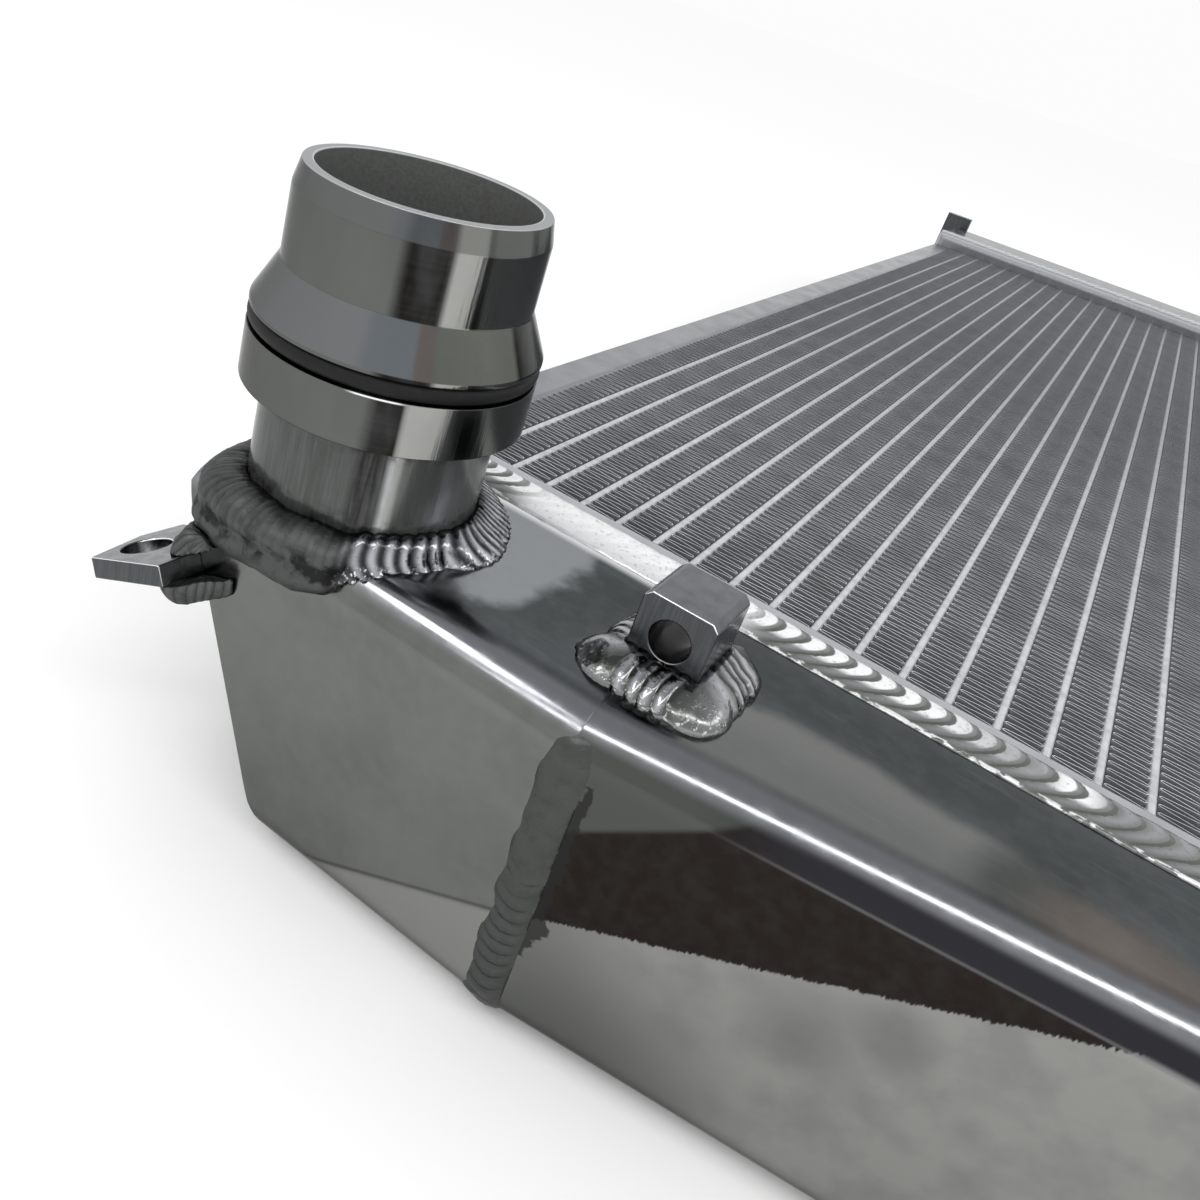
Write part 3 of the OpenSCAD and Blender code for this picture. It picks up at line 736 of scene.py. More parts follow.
def weld_metal(name, colours, valley, bright, gap=0.14, dark_gap=0.85, white_highlights=False, metallic=1.0):
    """Weld bead as laid: ripples with a painted highlight on each crest and painted shade in the gaps, dull
    and sooty where it overheated, painted sparkles of light along its toes. The marks on the mesh say
    where."""
    material, tree, shader, place_on = new_metal(name, specular_tint=(0.7, 0.7, 0.7, 1), metallic=metallic)
    phase, ripples, soot_and_shade, matt, glint = (
        add_node(tree, "ShaderNodeAttribute", attribute_name=kind).outputs["Fac"] for kind in BEAD_MARKS
    )
    steps = {"step": add_node(tree, "ShaderNodeMath", {0: phase}, operation="FRACT").outputs[0]}
    # Painted highlight on each ripple's crest, and painted shade in the gaps between ripples
    crest = times(tree, zone(tree, steps, 0.2, step=(0.2, 0.62)), ripples)
    gaps = times(tree, zone(tree, steps, 0.04, step=(1 - gap, None)), ripples)
    oxide = cloud(tree, place_on, 2.6 * MM, 0.42, 0.6, detail=6.0)
    specks = cloud(tree, place_on, 0.9 * MM, 0.58, 0.68, detail=4.0)
    # Painted sparkles of light for the toes
    sparks = cloud(tree, place_on, 0.8 * MM, 0.56, 0.62)
    shiny = layered(
        tree, valley,
        (crest, bright), (gaps, colours.soot_and_shade, dark_gap), (soot_and_shade, colours.soot_and_shade),
    )
    if white_highlights:
        axes = axes_of(tree, place_on)
        # Painted highlights: the ripples are painted white from the neck past the block and once more
        # further on, the bead nearly white over part of its length, and white sparkles along its toe
        toe_y = butt_y - bpy.context.scene.radiator_sizes.header_bead / 2
        upper = zone(tree, axes, 1.0 * MM, y=(toe_y + 3.6 * MM, None))
        lobes = times(tree, zone(tree, steps, 0.05, step=(0.02, 1 - 2 * gap)), upper)
        lit = zone(tree, axes, 12 * MM, x=(-200 * MM, -70 * MM))
        again = zone(tree, axes, 3 * MM, x=(-58 * MM, -50 * MM))
        white_glare = zone(tree, axes, 5 * MM, x=(-170 * MM, -116 * MM))
        toe = zone(tree, axes, 0.15 * MM, y=(toe_y + 0.1 * MM, toe_y + 0.7 * MM))
        toe = times(tree, toe, cloud(tree, place_on, 1.6 * MM, 0.48, 0.56, stretch=(1.5, 1, 1)))
        shiny = layered(
            tree, shiny,
            (times(tree, lobes, either(tree, lit, again)), colours.highlight_white),
            (white_glare, colours.highlight_white, 0.93), (toe, colours.highlight_white),
        )
    smoke = scaled(tree, oxide, 0.55, soot_and_shade)
    smoke = add_node(tree, "ShaderNodeMapRange", {0: smoke, 1: 0.45, 2: 0.95}).outputs[0]
    dull = layered(
        tree, colours.bead_dull,
        (crest, colours.turned_cone, 0.35), (gaps, colours.soot_and_shade, 0.6),
        (oxide, colours.dark_marks_and_reflection, 0.25), (smoke, colours.soot_and_shade),
    )
    paint = layered(
        tree, shiny,
        (matt, dull), (specks, colours.dark_marks_and_reflection, 0.3),
        (times(tree, glint, sparks), colours.highlight_white),
    )
    rough = scaled(tree, matt, 0.3, scaled(tree, oxide, 0.08, 0.14))
    fill(tree, shader, {"Base Color": paint, "Roughness": rough})
    relief(tree, shader, specks, 0.06 * MM, 0.6)
    return material


def milled_metal(colours):
    """Milled aluminium: fine cutter marks and scuffs, a front painted darker and a top and side painted
    lighter as shade and light, a painted highlight on the upper front edge and painted shade in the bore.
    """
    material, tree, shader, place_on = new_metal("milled_aluminium")
    bore_axis = block_foot + Vector((0, 0, BLOCK_BORE_RISE))
    _, distance = beside_axis(tree, place_on, bore_axis, (1, 0, 1))
    in_bore = zone(tree, {"r": distance}, 0.15 * MM, r=(None, BLOCK_BORE + 0.2 * MM))
    facing = facing_of(tree)
    # Painted shade and light by the way a face looks: the front darker, the top and the right side lighter,
    # a painted highlight on the upper front edges, and painted shade in the bore
    front = zone(tree, facing, 0.1, y=(None, -0.85))
    top = zone(tree, facing, 0.05, z=(0.9, None))
    side = zone(tree, facing, 0.1, x=(0.85, None))
    front_edge_highlight = zone(tree, facing, 0.1, y=(None, -0.35), z=(0.35, None))
    marks = cloud(tree, place_on, 0.5 * MM, 0.35, 0.7, stretch=(1, 20, 20))
    scuffs = cloud(tree, place_on, 3 * MM, 0.4, 0.7, detail=5.0)
    paint = layered(
        tree, colours.milled,
        (front, colours.bead, 0.9), (top, colours.fold, 0.2),
        (side, colours.fold, 0.8),
        (marks, colours.satin, 0.15),
        (scuffs, colours.dark_marks_and_reflection, 0.4),
        (front_edge_highlight, colours.highlight_white), (in_bore, colours.soot_and_shade),
    )
    fill(tree, shader, {"Base Color": paint, "Roughness": scaled(tree, scuffs, 0.12, 0.2)})
    relief(tree, shader, marks, 0.02 * MM, 0.5)
    return material


def towards_far_end(tree, place_on):
    """A mask that grows along the core, away from the inlet tank."""
    return zone(tree, axes_of(tree, place_on), 170 * MM, y=(-130 * MM, None))


def core_tube(colours):
    """Brazed aluminium tube: satin, with flux stains."""
    material, tree, shader, place_on = new_metal("core_tube", metallic=0.45)
    stains = cloud(tree, place_on, 3 * MM, 0.4, 0.7, detail=5.0)
    # Painted shade: the tubes darker towards the far end
    away = towards_far_end(tree, place_on)
    paint = layered(tree, colours.tube, (stains, colours.satin, 0.4), (away, colours.far, 0.85))
    fill(tree, shader, {"Base Color": paint, "Roughness": scaled(tree, stains, 0.1, 0.36)})
    relief(tree, shader, stains, 0.05 * MM, 0.5)
    return material


def core_fin(colours):
    """Thin rolled fin strip: cut edges painted pale as a highlight, greyer faces, a few bent fins with
    painted glints, and the edges painted darker as shade towards the far end.
    """
    material, tree, shader, place_on = new_metal("core_fin", metallic=0.6, roughness=0.42)
    # Painted highlight on the up-facing cut edges, with painted glints, and painted shade on them towards
    # the far end
    cut = zone(tree, facing_of(tree), 0.2, z=(0.5, None))
    glint = cloud(tree, place_on, 1.4 * MM, 0.68, 0.76, stretch=(2, 1, 30))
    bent = cloud(tree, place_on, 14 * MM, 0.4, 0.7)
    away = towards_far_end(tree, place_on)
    faces = layered(tree, colours.fin, (bent, colours.wall, 0.3))
    edges = layered(
        tree, colours.fin_edge_highlight,
        (bent, colours.satin, 0.5), (away, colours.far), (glint, colours.highlight_white),
    )
    fill(tree, shader, {"Base Color": layered(tree, faces, (cut, edges))})
    return material


def seal_rubber(colours):
    """Moulded nitrile rubber: matt black with a faint sheen."""
    material, tree, shader, place_on = new_metal("seal_rubber", metallic=0.0, roughness=0.6)
    bloom = cloud(tree, place_on, 2 * MM, 0.4, 0.8)
    paint = layered(tree, colours.rubber, (bloom, colours.soot_and_shade, 0.15))
    fill(tree, shader, {"Base Color": paint, "Specular IOR Level": 0.3})
    relief(tree, shader, bloom, 0.02 * MM, 0.5)
    return material


def pale_floor(colours):
    """Painted studio floor: plain and matt."""
    material, tree, shader, _ = new_metal("studio_floor", metallic=0.0, roughness=0.9)
    seen = add_node(tree, "ShaderNodeLightPath").outputs["Is Camera Ray"]
    fill(tree, shader, {
        "Specular IOR Level": 0.0,
        "Base Color": colours.floor,
        "Emission Color": colours.floor,
        "Emission Strength": scaled(tree, seen, 0.06),
    })
    return material


# Weld beads


def bead_run(name, start, end, across, width, height, sides):
    """A straight bead: an oval ring drawn along its path, half sunk in the sheet."""
    length = (Vector(end) - Vector(start)).length
    deselect_all()
    bpy.ops.mesh.primitive_circle_add(
        vertices=sides, radius=1.0, fill_type="NGON", rotation=(0, math.pi / 2, 0),
    )
    piece = named(name)
    piece.scale = (height, width / 2, 1.0)
    bpy.ops.object.transform_apply(location=False, rotation=True, scale=True)
    edit(piece, lambda: bpy.ops.mesh.delete(type="ONLY_FACE"))
    steps = round(length / HEADER_STEP)
    apply_modifier(
        piece, "SCREW", axis="X", angle=0.0, screw_offset=length, steps=steps,
        render_steps=steps, use_merge_vertices=True,
    )
    close_ends(piece)
    place(piece, start, Vector(end) - Vector(start), across)
    return piece


def close_ends(piece):
    def cap():
        bpy.ops.mesh.select_all(action="DESELECT")
        bpy.ops.mesh.select_non_manifold()
        bpy.ops.mesh.edge_face_add()
        bpy.ops.mesh.select_all(action="SELECT")
        bpy.ops.mesh.normals_make_consistent(inside=False)
    edit(piece, cap)


def ease(value, low, high):
    """0 below the low value, 1 above the high one, and a smooth step between."""
    share = min(1.0, max(0.0, (value - low) / (high - low)))
    return share * share * (3.0 - 2.0 * share)


def bell(value, middle, width):
    return math.exp(-((value - middle) / width) ** 2)


def dome(phase):
    """Height across one ripple, from 0 in its valley to 1 on its crest, steeper at its front."""
    skewed = (phase % 1.0) ** 0.75
    return math.sqrt(max(0.0, 1.0 - (2.0 * skewed - 1.0) ** 2))


def between(stops, value, smooth_steps=True):
    """The numbers at a value, between rows of stops that start with their own value."""
    for (low, *first), (high, *last) in zip(stops, stops[1:]):
        if value <= high:
            share = ease(value, low, high) if smooth_steps else (value - low) / (high - low)
            return [a + (b - a) * share for a, b in zip(first, last)]
    return list(stops[-1][1:])


def mark(piece, rows):
    """Stores each vertex's row of bead marks for the metal to follow."""
    for kind, numbers in zip(BEAD_MARKS, zip(*rows)):
        piece.data.attributes.new(kind, "FLOAT", "POINT").data.foreach_set("value", numbers)
    piece.data.update()


def ripple(piece, path, pitch, depth, lumps=0.0, bow=0.9, apex=0.0, matt=0.0, strength=None):
    """Presses crescent ripples into a bead: path gives the way along and across, and the way out."""
    rows = []
    for vertex in piece.data.vertices:
        along, across, out = path(vertex.co)
        phase = along / pitch + bow * (across - apex) ** 2 + 0.25 * noise.noise(vertex.co * 90)
        show = max(0.0, 1.0 - across ** 4) * (strength(vertex.co) if strength else 1.0)
        rows.append((phase, show, 0.0, matt, 0.0))
        wander = noise.noise(vertex.co * 260)
        vertex.co += Vector(out) * (depth * (dome(phase) - 1) * show + lumps * (wander - 0.35))
    mark(piece, rows)


def ring_bead(name, rings, sides, outline, section, inner):
    """A closed bead: a torus whose rings are laid along an outline, each point at its own reach,
    and none further inwards than inner."""
    deselect_all()
    bpy.ops.mesh.primitive_torus_add(
        major_radius=1.0, minor_radius=0.25, major_segments=rings, minor_segments=sides,
    )
    piece = named(name)
    rows = []
    for vertex in piece.data.vertices:
        flat = Vector((vertex.co.x, vertex.co.y, 0))
        turn = math.atan2(flat.y, flat.x)
        lean = math.atan2(vertex.co.z, flat.length - 1.0)
        middle, out, along = outline(turn)
        way = out * math.cos(lean) + Vector((0, 0, math.sin(lean)))
        reach, row = section(turn, math.degrees(lean), along, middle + way * 6 * MM)
        inwards = max(0.0, -math.cos(lean) * reach - inner)
        vertex.co = middle + way * reach + out * inwards
        rows.append([min(1.0, max(0.0, number)) if index else number for index, number in enumerate(row)])
    mark(piece, rows)
    return piece


def oval(wide, tall, lean):
    """Reach of an oval section that spreads wide over the sheet and stands tall, at a lean."""
    turn = math.radians(lean)
    level = wide if math.cos(turn) > 0 else tall
    return level * tall / math.hypot(tall * math.cos(turn), level * math.sin(turn))


def cut_to(piece, *cutters):
    """Takes solid shapes away from a piece, and the shapes with them."""
    for cutter in cutters:
        apply_modifier(piece, "BOOLEAN", object=cutter, operation="DIFFERENCE", solver="EXACT")
        bpy.data.objects.remove(cutter)


def filled_copy(node):
    """The space that a node takes up, its hollows filled, to cut other pieces to it."""
    piece = copy_of(node, node + "_cutter")
    edit(piece, bpy.ops.mesh.convex_hull)
    return piece


def header_weld(name, y, sizes):
    """The bead round a header: one run over each side of the tank, the one on top meshed finer."""
    # The beads stand on the ground, so they are as high as the tank's underside
    width, height = sizes.header_bead, tank_low
    left, right = header_low.x, header_high.x
    # The runs above and below reach over the corners
    far_left, far_right = left - height * 0.4, right + height * 0.4
    runs = (
        ((far_left, y, tank_top), (far_right, y, tank_top), (0, 0, 1), 26),
        ((far_right, y, tank_low), (far_left, y, tank_low), (0, 0, -1), 14),
        ((left, y, tank_low), (left, y, tank_top), (-1, 0, 0), 14),
        ((right, y, tank_top), (right, y, tank_low), (1, 0, 0), 14),
    )
    pieces = []
    for number, (start, end, out, sides) in enumerate(runs):
        piece = bead_run(f"{name}_{number}", start, end, (0, 1, 0), width, height, sides)
        way = (Vector(end) - Vector(start)).normalized()
        out = Vector(out)

        def path(point, start=Vector(start), way=way, out=out):
            outer = (point - start).dot(out) > 0
            return (point - start).dot(way), (point.y - y) / (width / 2), out * outer
        ripple(
            piece, path, sizes.header_ripple, depth=height * 0.25, lumps=height * 0.1, bow=1.0, apex=0.3,
        )
        pieces.append(piece)
    return join(pieces, name)


def seam_weld(name, x, face_y, sizes):
    """A flat bead from the upper fold down the outer wall, round the lower fold and underneath."""
    width, height, radius = sizes.seam_bead, sizes.seam_height, sizes.fold_radius
    # The bead is the part of an oval that stands out of the sheet, so the oval is wider than the bead
    sunk = 0.9 * MM
    spread = 1.13
    fold_y, fold_z = face_y + radius, tank_low + radius
    upper_z = tank_top - radius
    start = math.radians(58)
    down = upper_z - fold_z
    back = butt_y - sizes.header_bead / 2 - fold_y
    deselect_all()
    bpy.ops.mesh.primitive_circle_add(vertices=18, radius=1.0, fill_type="NOTHING")
    piece = named(name)
    piece.scale = (width / 2 * spread, height + sunk, 1.0)
    bpy.ops.object.transform_apply(location=False, rotation=False, scale=True)
    piece.rotation_euler = (-start, 0, 0)
    arm = radius - sunk
    piece.location = (x, fold_y - arm * math.cos(start), upper_z + arm * math.sin(start))
    bpy.ops.object.transform_apply(location=True, rotation=True, scale=True)

    def draw():
        bpy.ops.mesh.spin(steps=18, angle=-start, center=(x, fold_y, upper_z), axis=(1, 0, 0))
        count = round(down / SEAM_STEP)
        for _ in range(count):
            extrude(0, 0, -down / count)
        bpy.ops.mesh.spin(steps=28, angle=-math.pi / 2, center=(x, fold_y, fold_z), axis=(1, 0, 0))
        count = round(back / SEAM_STEP)
        for _ in range(count):
            extrude(0, back / count, 0)
        merge_doubles()
    edit(piece, draw)
    close_ends(piece)

    def round_fold(point, centre_z):
        arm = Vector((0, point.y - fold_y, point.z - centre_z))
        return radius * math.atan2(arm.z, -arm.y), arm.normalized(), arm.length > radius

    def path(point):
        across = (point.x - x) / (width / 2)
        if point.z > upper_z:
            climbed, out, outer = round_fold(point, upper_z)
            return -climbed, across, out * outer
        if point.z > fold_z:
            return upper_z - point.z, across, Vector((0, -1, 0)) * (point.y < face_y)
        if point.y < fold_y:
            climbed, out, outer = round_fold(point, fold_z)
            return down - climbed, across, out * outer
        under = Vector((0, 0, -1)) * (point.z < tank_low)
        return down + radius * math.pi / 2 + point.y - fold_y, across, under

    def strength(point):
        rare = ease(noise.noise(point * 140), 0.25, 0.4)
        return max(rare, ease(-point.z, -38 * MM, -30 * MM))
    ripple(
        piece, path, sizes.seam_ripple, depth=height * 0.3, lumps=height * 0.5,
        bow=0.6, matt=0.4, strength=strength,
    )
    for vertex in piece.data.vertices:
        # The bead runs out flush into the fold
        if vertex.co.z > upper_z:
            climbed, out, _ = round_fold(vertex.co, upper_z)
            vertex.co -= out * height * 1.4 * ease(climbed, 0, radius * start * 0.9)
    return piece


def foot_weld(node, name, pitch, depth, lumps, grown):
    """A solid's own weld, grown by a factor, meshed finely and worked into dull lumps and ripples."""
    piece = copy_of(node, name)
    low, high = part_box(node)
    centre = (low + high) / 2
    for vertex in piece.data.vertices:
        vertex.co = centre + (vertex.co - centre) * grown
    apply_modifier(piece, "REMESH", mode="VOXEL", voxel_size=0.45 * MM)

    def path(point):
        flat = Vector((point.x - centre.x, point.y - centre.y, 0))
        rise = (point.z - low.z) / (high.z - low.z)
        out = flat.normalized() * 0.6 + Vector((0, 0, 0.8))
        return math.atan2(flat.y, flat.x) * 11 * MM, rise - 0.5, out
    ripple(piece, path, pitch, depth, lumps, bow=0.5, matt=1.0)
    return piece


# Shape of a neck's bead: turn in degrees from the way the tank's face lies, then spread and height
# in millimetres
NECK_BEAD = (
    (-180, 7.0, 6.4), (-150, 8.0, 6.8), (-130, 9.2, 7.4), (-110, 7.6, 7.6), (-95, 6.4, 7.4),
    (-75, 6.8, 7.2), (-62, 6.8, 6.4), (-53, 3.9, 6.0), (-15, 3.9, 6.0), (-4, 6.6, 5.6),
    (8, 7.6, 5.4), (30, 6.9, 5.2), (60, 6.2, 5.4), (100, 6.0, 5.8), (150, 6.4, 6.2), (180, 7.0, 6.4),
)
# Ripples of a neck's bead: turn in degrees, then how many ripples lie before it
NECK_RIPPLES = ((-180, 0), (-55, 33), (5, 42), (60, 56), (180, 80))


def neck_weld(name, tank_node, axis, facing):
    """The weld round a neck's foot: dull and sooty over the tank's end, and bright with overlapping
    ripples on the tank's face, which lies towards the turn that facing gives."""
    def from_facing(turn):
        return (math.degrees(turn) - facing + 180) % 360 - 180

    def overheated(turn):
        degrees = from_facing(turn)
        return max(ease(-degrees, 49, 60), ease(degrees, 100, 150))

    def outline(turn):
        out = Vector((math.cos(turn), math.sin(turn), 0))
        behind = 0.5 - 0.5 * math.cos(turn - math.radians(facing))
        sink = (0.6 + 1.4 * overheated(turn) + 3.2 * behind ** 3) * MM
        return axis + out * NECK_RING - Vector((0, 0, sink)), out, 0.0

    def section(turn, lean, along, near):
        degrees, dull = from_facing(turn), overheated(turn)
        glossy = 1 - dull
        wide, tall = between(NECK_BEAD, degrees)
        swept = ease(degrees, -15, 10) * glossy
        bow = (0.6 + 1.2 * swept) * ((lean - 50) / 60) ** 2
        phase = between(NECK_RIPPLES, degrees, False)[0] - bow * (0.4 if dull > 0.5 else 1.0)
        phase += 0.3 * noise.noise(near * 70) + 0.2 * noise.noise(Vector((degrees / 9, 0, 0)))
        crest = dome(phase)
        upper = ease(lean, 6, 26)
        belt = bell(lean + 16 * noise.noise(near * 60), 0, 17)
        toe = ease(25 - lean, 0, 25)
        hollow = max(0.0, math.sin(math.radians(2 * lean)))
        reach = oval(wide, tall, lean) * MM * (1 - 0.1 * glossy * hollow)
        reach += (glossy * 0.75 + 0.45 * dull * upper) * MM * (crest - 1)
        reach += glossy * toe * 1.1 * MM * (crest - 0.4) - dull * 1.6 * MM * belt
        reach += (0.2 + 0.6 * dull) * MM * (noise.noise(near * 130) - 0.3)
        reach += 0.25 * dull * MM * noise.noise(near * 420)
        tip = bell(degrees, -58, 5) * bell(lean, -48, 16)
        patches = 0.55 + 1.3 * noise.noise(near * 120)
        soot_and_shade = dull * belt * patches + ease(lean, 78, 98) + tip
        show = glossy * bell(lean, 40, 60) + dull * upper * 0.75 * (0.7 + 0.8 * noise.noise(near * 60))
        show *= ease(180 - abs(degrees), 1, 6)
        return reach, (phase, show, soot_and_shade, dull, glossy * toe)
    piece = ring_bead(name, 520, 34, outline, section, inner=NECK_RING)
    bpy.ops.mesh.primitive_cylinder_add(
        vertices=96, radius=(NECK_TUBE - 0.1) * MM, depth=200 * MM, location=axis,
    )
    shaft = named("shaft_cutter")
    cut_to(piece, shaft, filled_copy(tank_node))
    smooth(piece, angle=60)
    return piece


def walk_round(distance, half_x, half_y, corner):
    """A place on a rectangle with rounded corners, some way round from its right side's start, and
    the way out there."""
    halves = (half_x, half_y)
    for quarter in range(4):
        bend = quarter * math.pi / 2
        out = Vector((round(math.cos(bend)), round(math.sin(bend)), 0))
        way = Vector((-out.y, out.x, 0))
        half_out, half_way = halves[quarter % 2], halves[1 - quarter % 2]
        run = 2 * (half_way - corner)
        if distance <= run:
            return out * half_out + way * (distance - run / 2), out
        distance -= run
        arc = corner * math.pi / 2
        if distance <= arc or quarter == 3:
            angle = min(distance, arc) / corner
            turned = out * math.cos(angle) + way * math.sin(angle)
            return out * (half_out - corner) + way * (half_way - corner) + turned * corner, turned
        distance -= arc


def block_weld(name):
    """The weld round the block's foot: a few big glossy ripples in front, finer ones at its right."""
    size = block_high - block_low
    half_x, half_y, corner = size.x / 2, size.y / 2, 1.5 * MM
    length = 4 * (half_x + half_y) - (8 - 2 * math.pi) * corner
    foot = block_foot - Vector((0, 0, 0.6 * MM))
    # Half the width of the big ripple round the front right corner
    big = 3.2 * MM

    def outline(turn):
        distance = (turn / (2 * math.pi) % 1.0) * length
        place_there, out = walk_round(distance, half_x, half_y, corner)
        return foot + place_there, out, distance if distance < length / 2 else distance - length

    def section(turn, lean, along, near):
        side = near - foot
        front, right = ease(-side.y, 3 * MM, 8 * MM), ease(side.x, 3 * MM, 8 * MM)
        left = ease(-side.x, 4 * MM, 9 * MM)
        swept = along - 2.2 * MM * ((lean - 40) / 55) ** 2 + 0.8 * MM * noise.noise(near * 110)
        if abs(swept) < big:
            phase = (big - swept) / (2 * big)
        elif swept > 0:
            phase = -(swept - big) / (2.4 * MM)
        else:
            phase = 1 - (swept + big) / (2.6 * MM)
        crest = dome(phase)
        toe = ease(28 - lean, 0, 25)
        wide = 4.5 + 3.7 * front + 3.0 * right * (1 - front) + 1.6 * left * (1 - front)
        tall = 4.6 + 1.0 * front + 1.2 * right * (1 - front)
        hollow = max(0.0, math.sin(math.radians(2 * lean)))
        reach = oval(wide, tall, lean) * MM * (1 - 0.04 * hollow)
        reach += (0.6 - 0.25 * right) * MM * (crest - 1) + toe * MM * (0.7 * crest - 0.3)
        reach += 1.2 * MM * noise.noise(near * 160) * ease(60 - lean, 0, 50)
        reach += 0.4 * MM * noise.noise(near * 420)
        return reach, (phase, bell(lean, 45, 60), ease(lean, 84, 100) * 0.8, 0.0, toe)
    piece = ring_bead(name, 440, 32, outline, section, inner=0.8 * corner)
    below_size = 60 * MM
    bpy.ops.mesh.primitive_cube_add(
        size=below_size, location=block_foot - Vector((0, 0, below_size / 2)),
    )
    below = named("sheet_cutter")
    cut_to(piece, below, filled_copy("mounting_block"))
    smooth(piece, angle=60)
    return piece


# Operators


# The soft lamps: name, place, what it points at, width and depth, all in metres, and its watts
LAMPS = (
    ("key", (-0.9, -1.3, 1.6), (0.0, -0.1, 0.0), (0.5, 0.4), 3.0),
    ("fill", (1.6, 0.6, 1.3), (0.0, 0.0, 0.0), (0.5, 0.5), 2.0),
    ("strip", (0.15, -0.56, 0.64), (0.0, -0.37, 0.07), (1.5, 0.065), 1.7),
)


class RADIATOR_OT_stage(Operator):
    """Sets the floor, the soft lamps, the world and the camera"""

    bl_idname = "radiator.stage"
    bl_label = "Stage"

    def execute(self, context):
        colours = context.scene.radiator_colours
        deselect_all()
        bpy.ops.mesh.primitive_plane_add(size=30.0)
        floor = named("studio_floor")
        floor.data.materials.append(pale_floor(colours))

        world = bpy.data.worlds.new("studio")
        context.scene.world = world
        world.use_nodes = True
        tree = world.node_tree
        tree.nodes.clear()
        ray = add_node(tree, "ShaderNodeLightPath")
        seen = ray.outputs["Is Camera Ray"]
        for kind in ("Is Glossy Ray", "Is Transmission Ray"):
            seen = either(tree, seen, ray.outputs[kind])
        sky = axes_of(tree, add_node(tree, "ShaderNodeTexCoord").outputs["Generated"])
        ceiling = zone(tree, sky, 0.3, z=(0.75, None))
        # Seen or mirrored, the world has a grey ceiling, and as a light it is plain
        mirrored = layered(tree, linear("#fcfcfc"), (ceiling, linear("#606468"), 0.65))
        backdrop = layered(tree, linear("#f8f8f8"), (seen, mirrored))
        light = add_node(tree, "ShaderNodeBackground", {"Color": backdrop, "Strength": 1.0})
        add_node(tree, "ShaderNodeOutputWorld", {"Surface": light.outputs[0]})

        for settings in LAMPS:
            lamp(*settings)
        add_camera()
        return {"FINISHED"}


def lamp(name, position, target, size, watts):
    deselect_all()
    bpy.ops.object.light_add(type="AREA", location=position)
    light = named(name)
    light.data.shape = "RECTANGLE"
    light.data.size, light.data.size_y = size
    light.data.energy = watts
    aim = Vector(target) - Vector(position)
    light.rotation_euler = aim.to_track_quat("-Z", "Y").to_euler()


def add_camera():
    """The photograph's view, as its parallel tubes give it."""
    deselect_all()
    bpy.ops.object.camera_add(
        location=(-84.31 * MM, -514.96 * MM, 175.12 * MM),
        rotation=tuple(math.radians(angle) for angle in (61.975, -15.087, 33.463)),
    )
    camera = named("camera")
    camera.data.sensor_width = 36.0
    camera.data.lens = 31.67
    camera.data.shift_x = 0.0695
    camera.data.shift_y = -0.0823
    camera.data.clip_start = 0.01
    bpy.context.scene.camera = camera


class RADIATOR_OT_fins(Operator):
    """Folds the fins: one wave, drawn deep, repeated along a row and from row to row"""

    bl_idname = "radiator.fins"
    bl_label = "Fins"

    def execute(self, context):
        sizes, colours = context.scene.radiator_sizes, context.scene.radiator_colours
        metal = core_fin(colours)
        row_count = round((fins_high.x - fins_low.x) / sizes.tube_pitch) * 2
        half = row_count // 4
        first = (tubes_low.x + tubes_high.x) / 2 - (row_count // 2 - 1) * sizes.tube_pitch
        edge_left = (fins_low.x + tubes_low.x) / 2
        edge_right = -edge_left + tubes_low.x + tubes_high.x
        edge_width = tubes_low.x - fins_low.x
        inner = [first + (i - 0.5) * sizes.tube_pitch for i in range(1, row_count - 1)]
        groups = (
            ("fin_rows_1", inner[:half - 1], edge_left, "fins_left"),
            ("fin_rows_2", inner[half - 1:2 * half - 1], None, "fins_left"),
            ("fin_rows_3", inner[2 * half - 1:3 * half - 1], None, "fins_right"),
            ("fin_rows_4", inner[3 * half - 1:], edge_right, "fins_right"),
        )
        for name, centres, edge, node in groups:
            piece = fin_row(name, centres[0], sizes.fin_row, sizes)
            apply_modifier(
                piece, "ARRAY", count=len(centres), use_relative_offset=False,
                use_constant_offset=True, constant_offset_displace=(sizes.tube_pitch, 0, 0),
            )
            if edge is not None:
                piece = join([piece, fin_row(name + "_edge", edge, edge_width, sizes)], name)
            finish(piece, "core_fin", metal, node)
        return {"FINISHED"}


def fin_row(name, centre, width, sizes):
    """One strip of fin, folded to and fro between two tubes."""
    pitch, crest = sizes.fin_pitch, sizes.fin_crest
    half = width / 2
    start = fins_low.y + sizes.rim_shift
    turns = int((fins_high.y - start) / pitch)
    wave = (
        (-half, 0.0), (-half + crest, crest), (half - crest, pitch / 2 - crest),
        (half, pitch / 2), (half - crest, pitch / 2 + crest), (-half + crest, pitch - crest),
        (-half, pitch),
    )
    deselect_all()
    bpy.ops.mesh.primitive_plane_add(size=MM)
    piece = named(name)

    def fold():
        bpy.ops.mesh.merge(type="CENTER")
        bpy.ops.transform.translate(value=(centre + wave[0][0], start + wave[0][1], fins_low.z))
        for (x0, y0), (x1, y1) in zip(wave, wave[1:]):
            extrude(x1 - x0, y1 - y0, 0)
        bpy.ops.mesh.select_all(action="SELECT")
        extrude(0, 0, fins_high.z - fins_low.z)
    edit(piece, fold)
    apply_modifier(
        piece, "ARRAY", count=turns, use_relative_offset=False, use_constant_offset=True,
        constant_offset_displace=(0, pitch, 0), use_merge_vertices=True, merge_threshold=DRAWN_GAP,
    )
    apply_modifier(piece, "SOLIDIFY", thickness=sizes.fin_thickness, offset=0.0)
    edit(piece, lambda: bpy.ops.mesh.normals_make_consistent(inside=False))
    activate(piece)
    bpy.ops.object.shade_smooth_by_angle(angle=math.radians(50))
    return piece


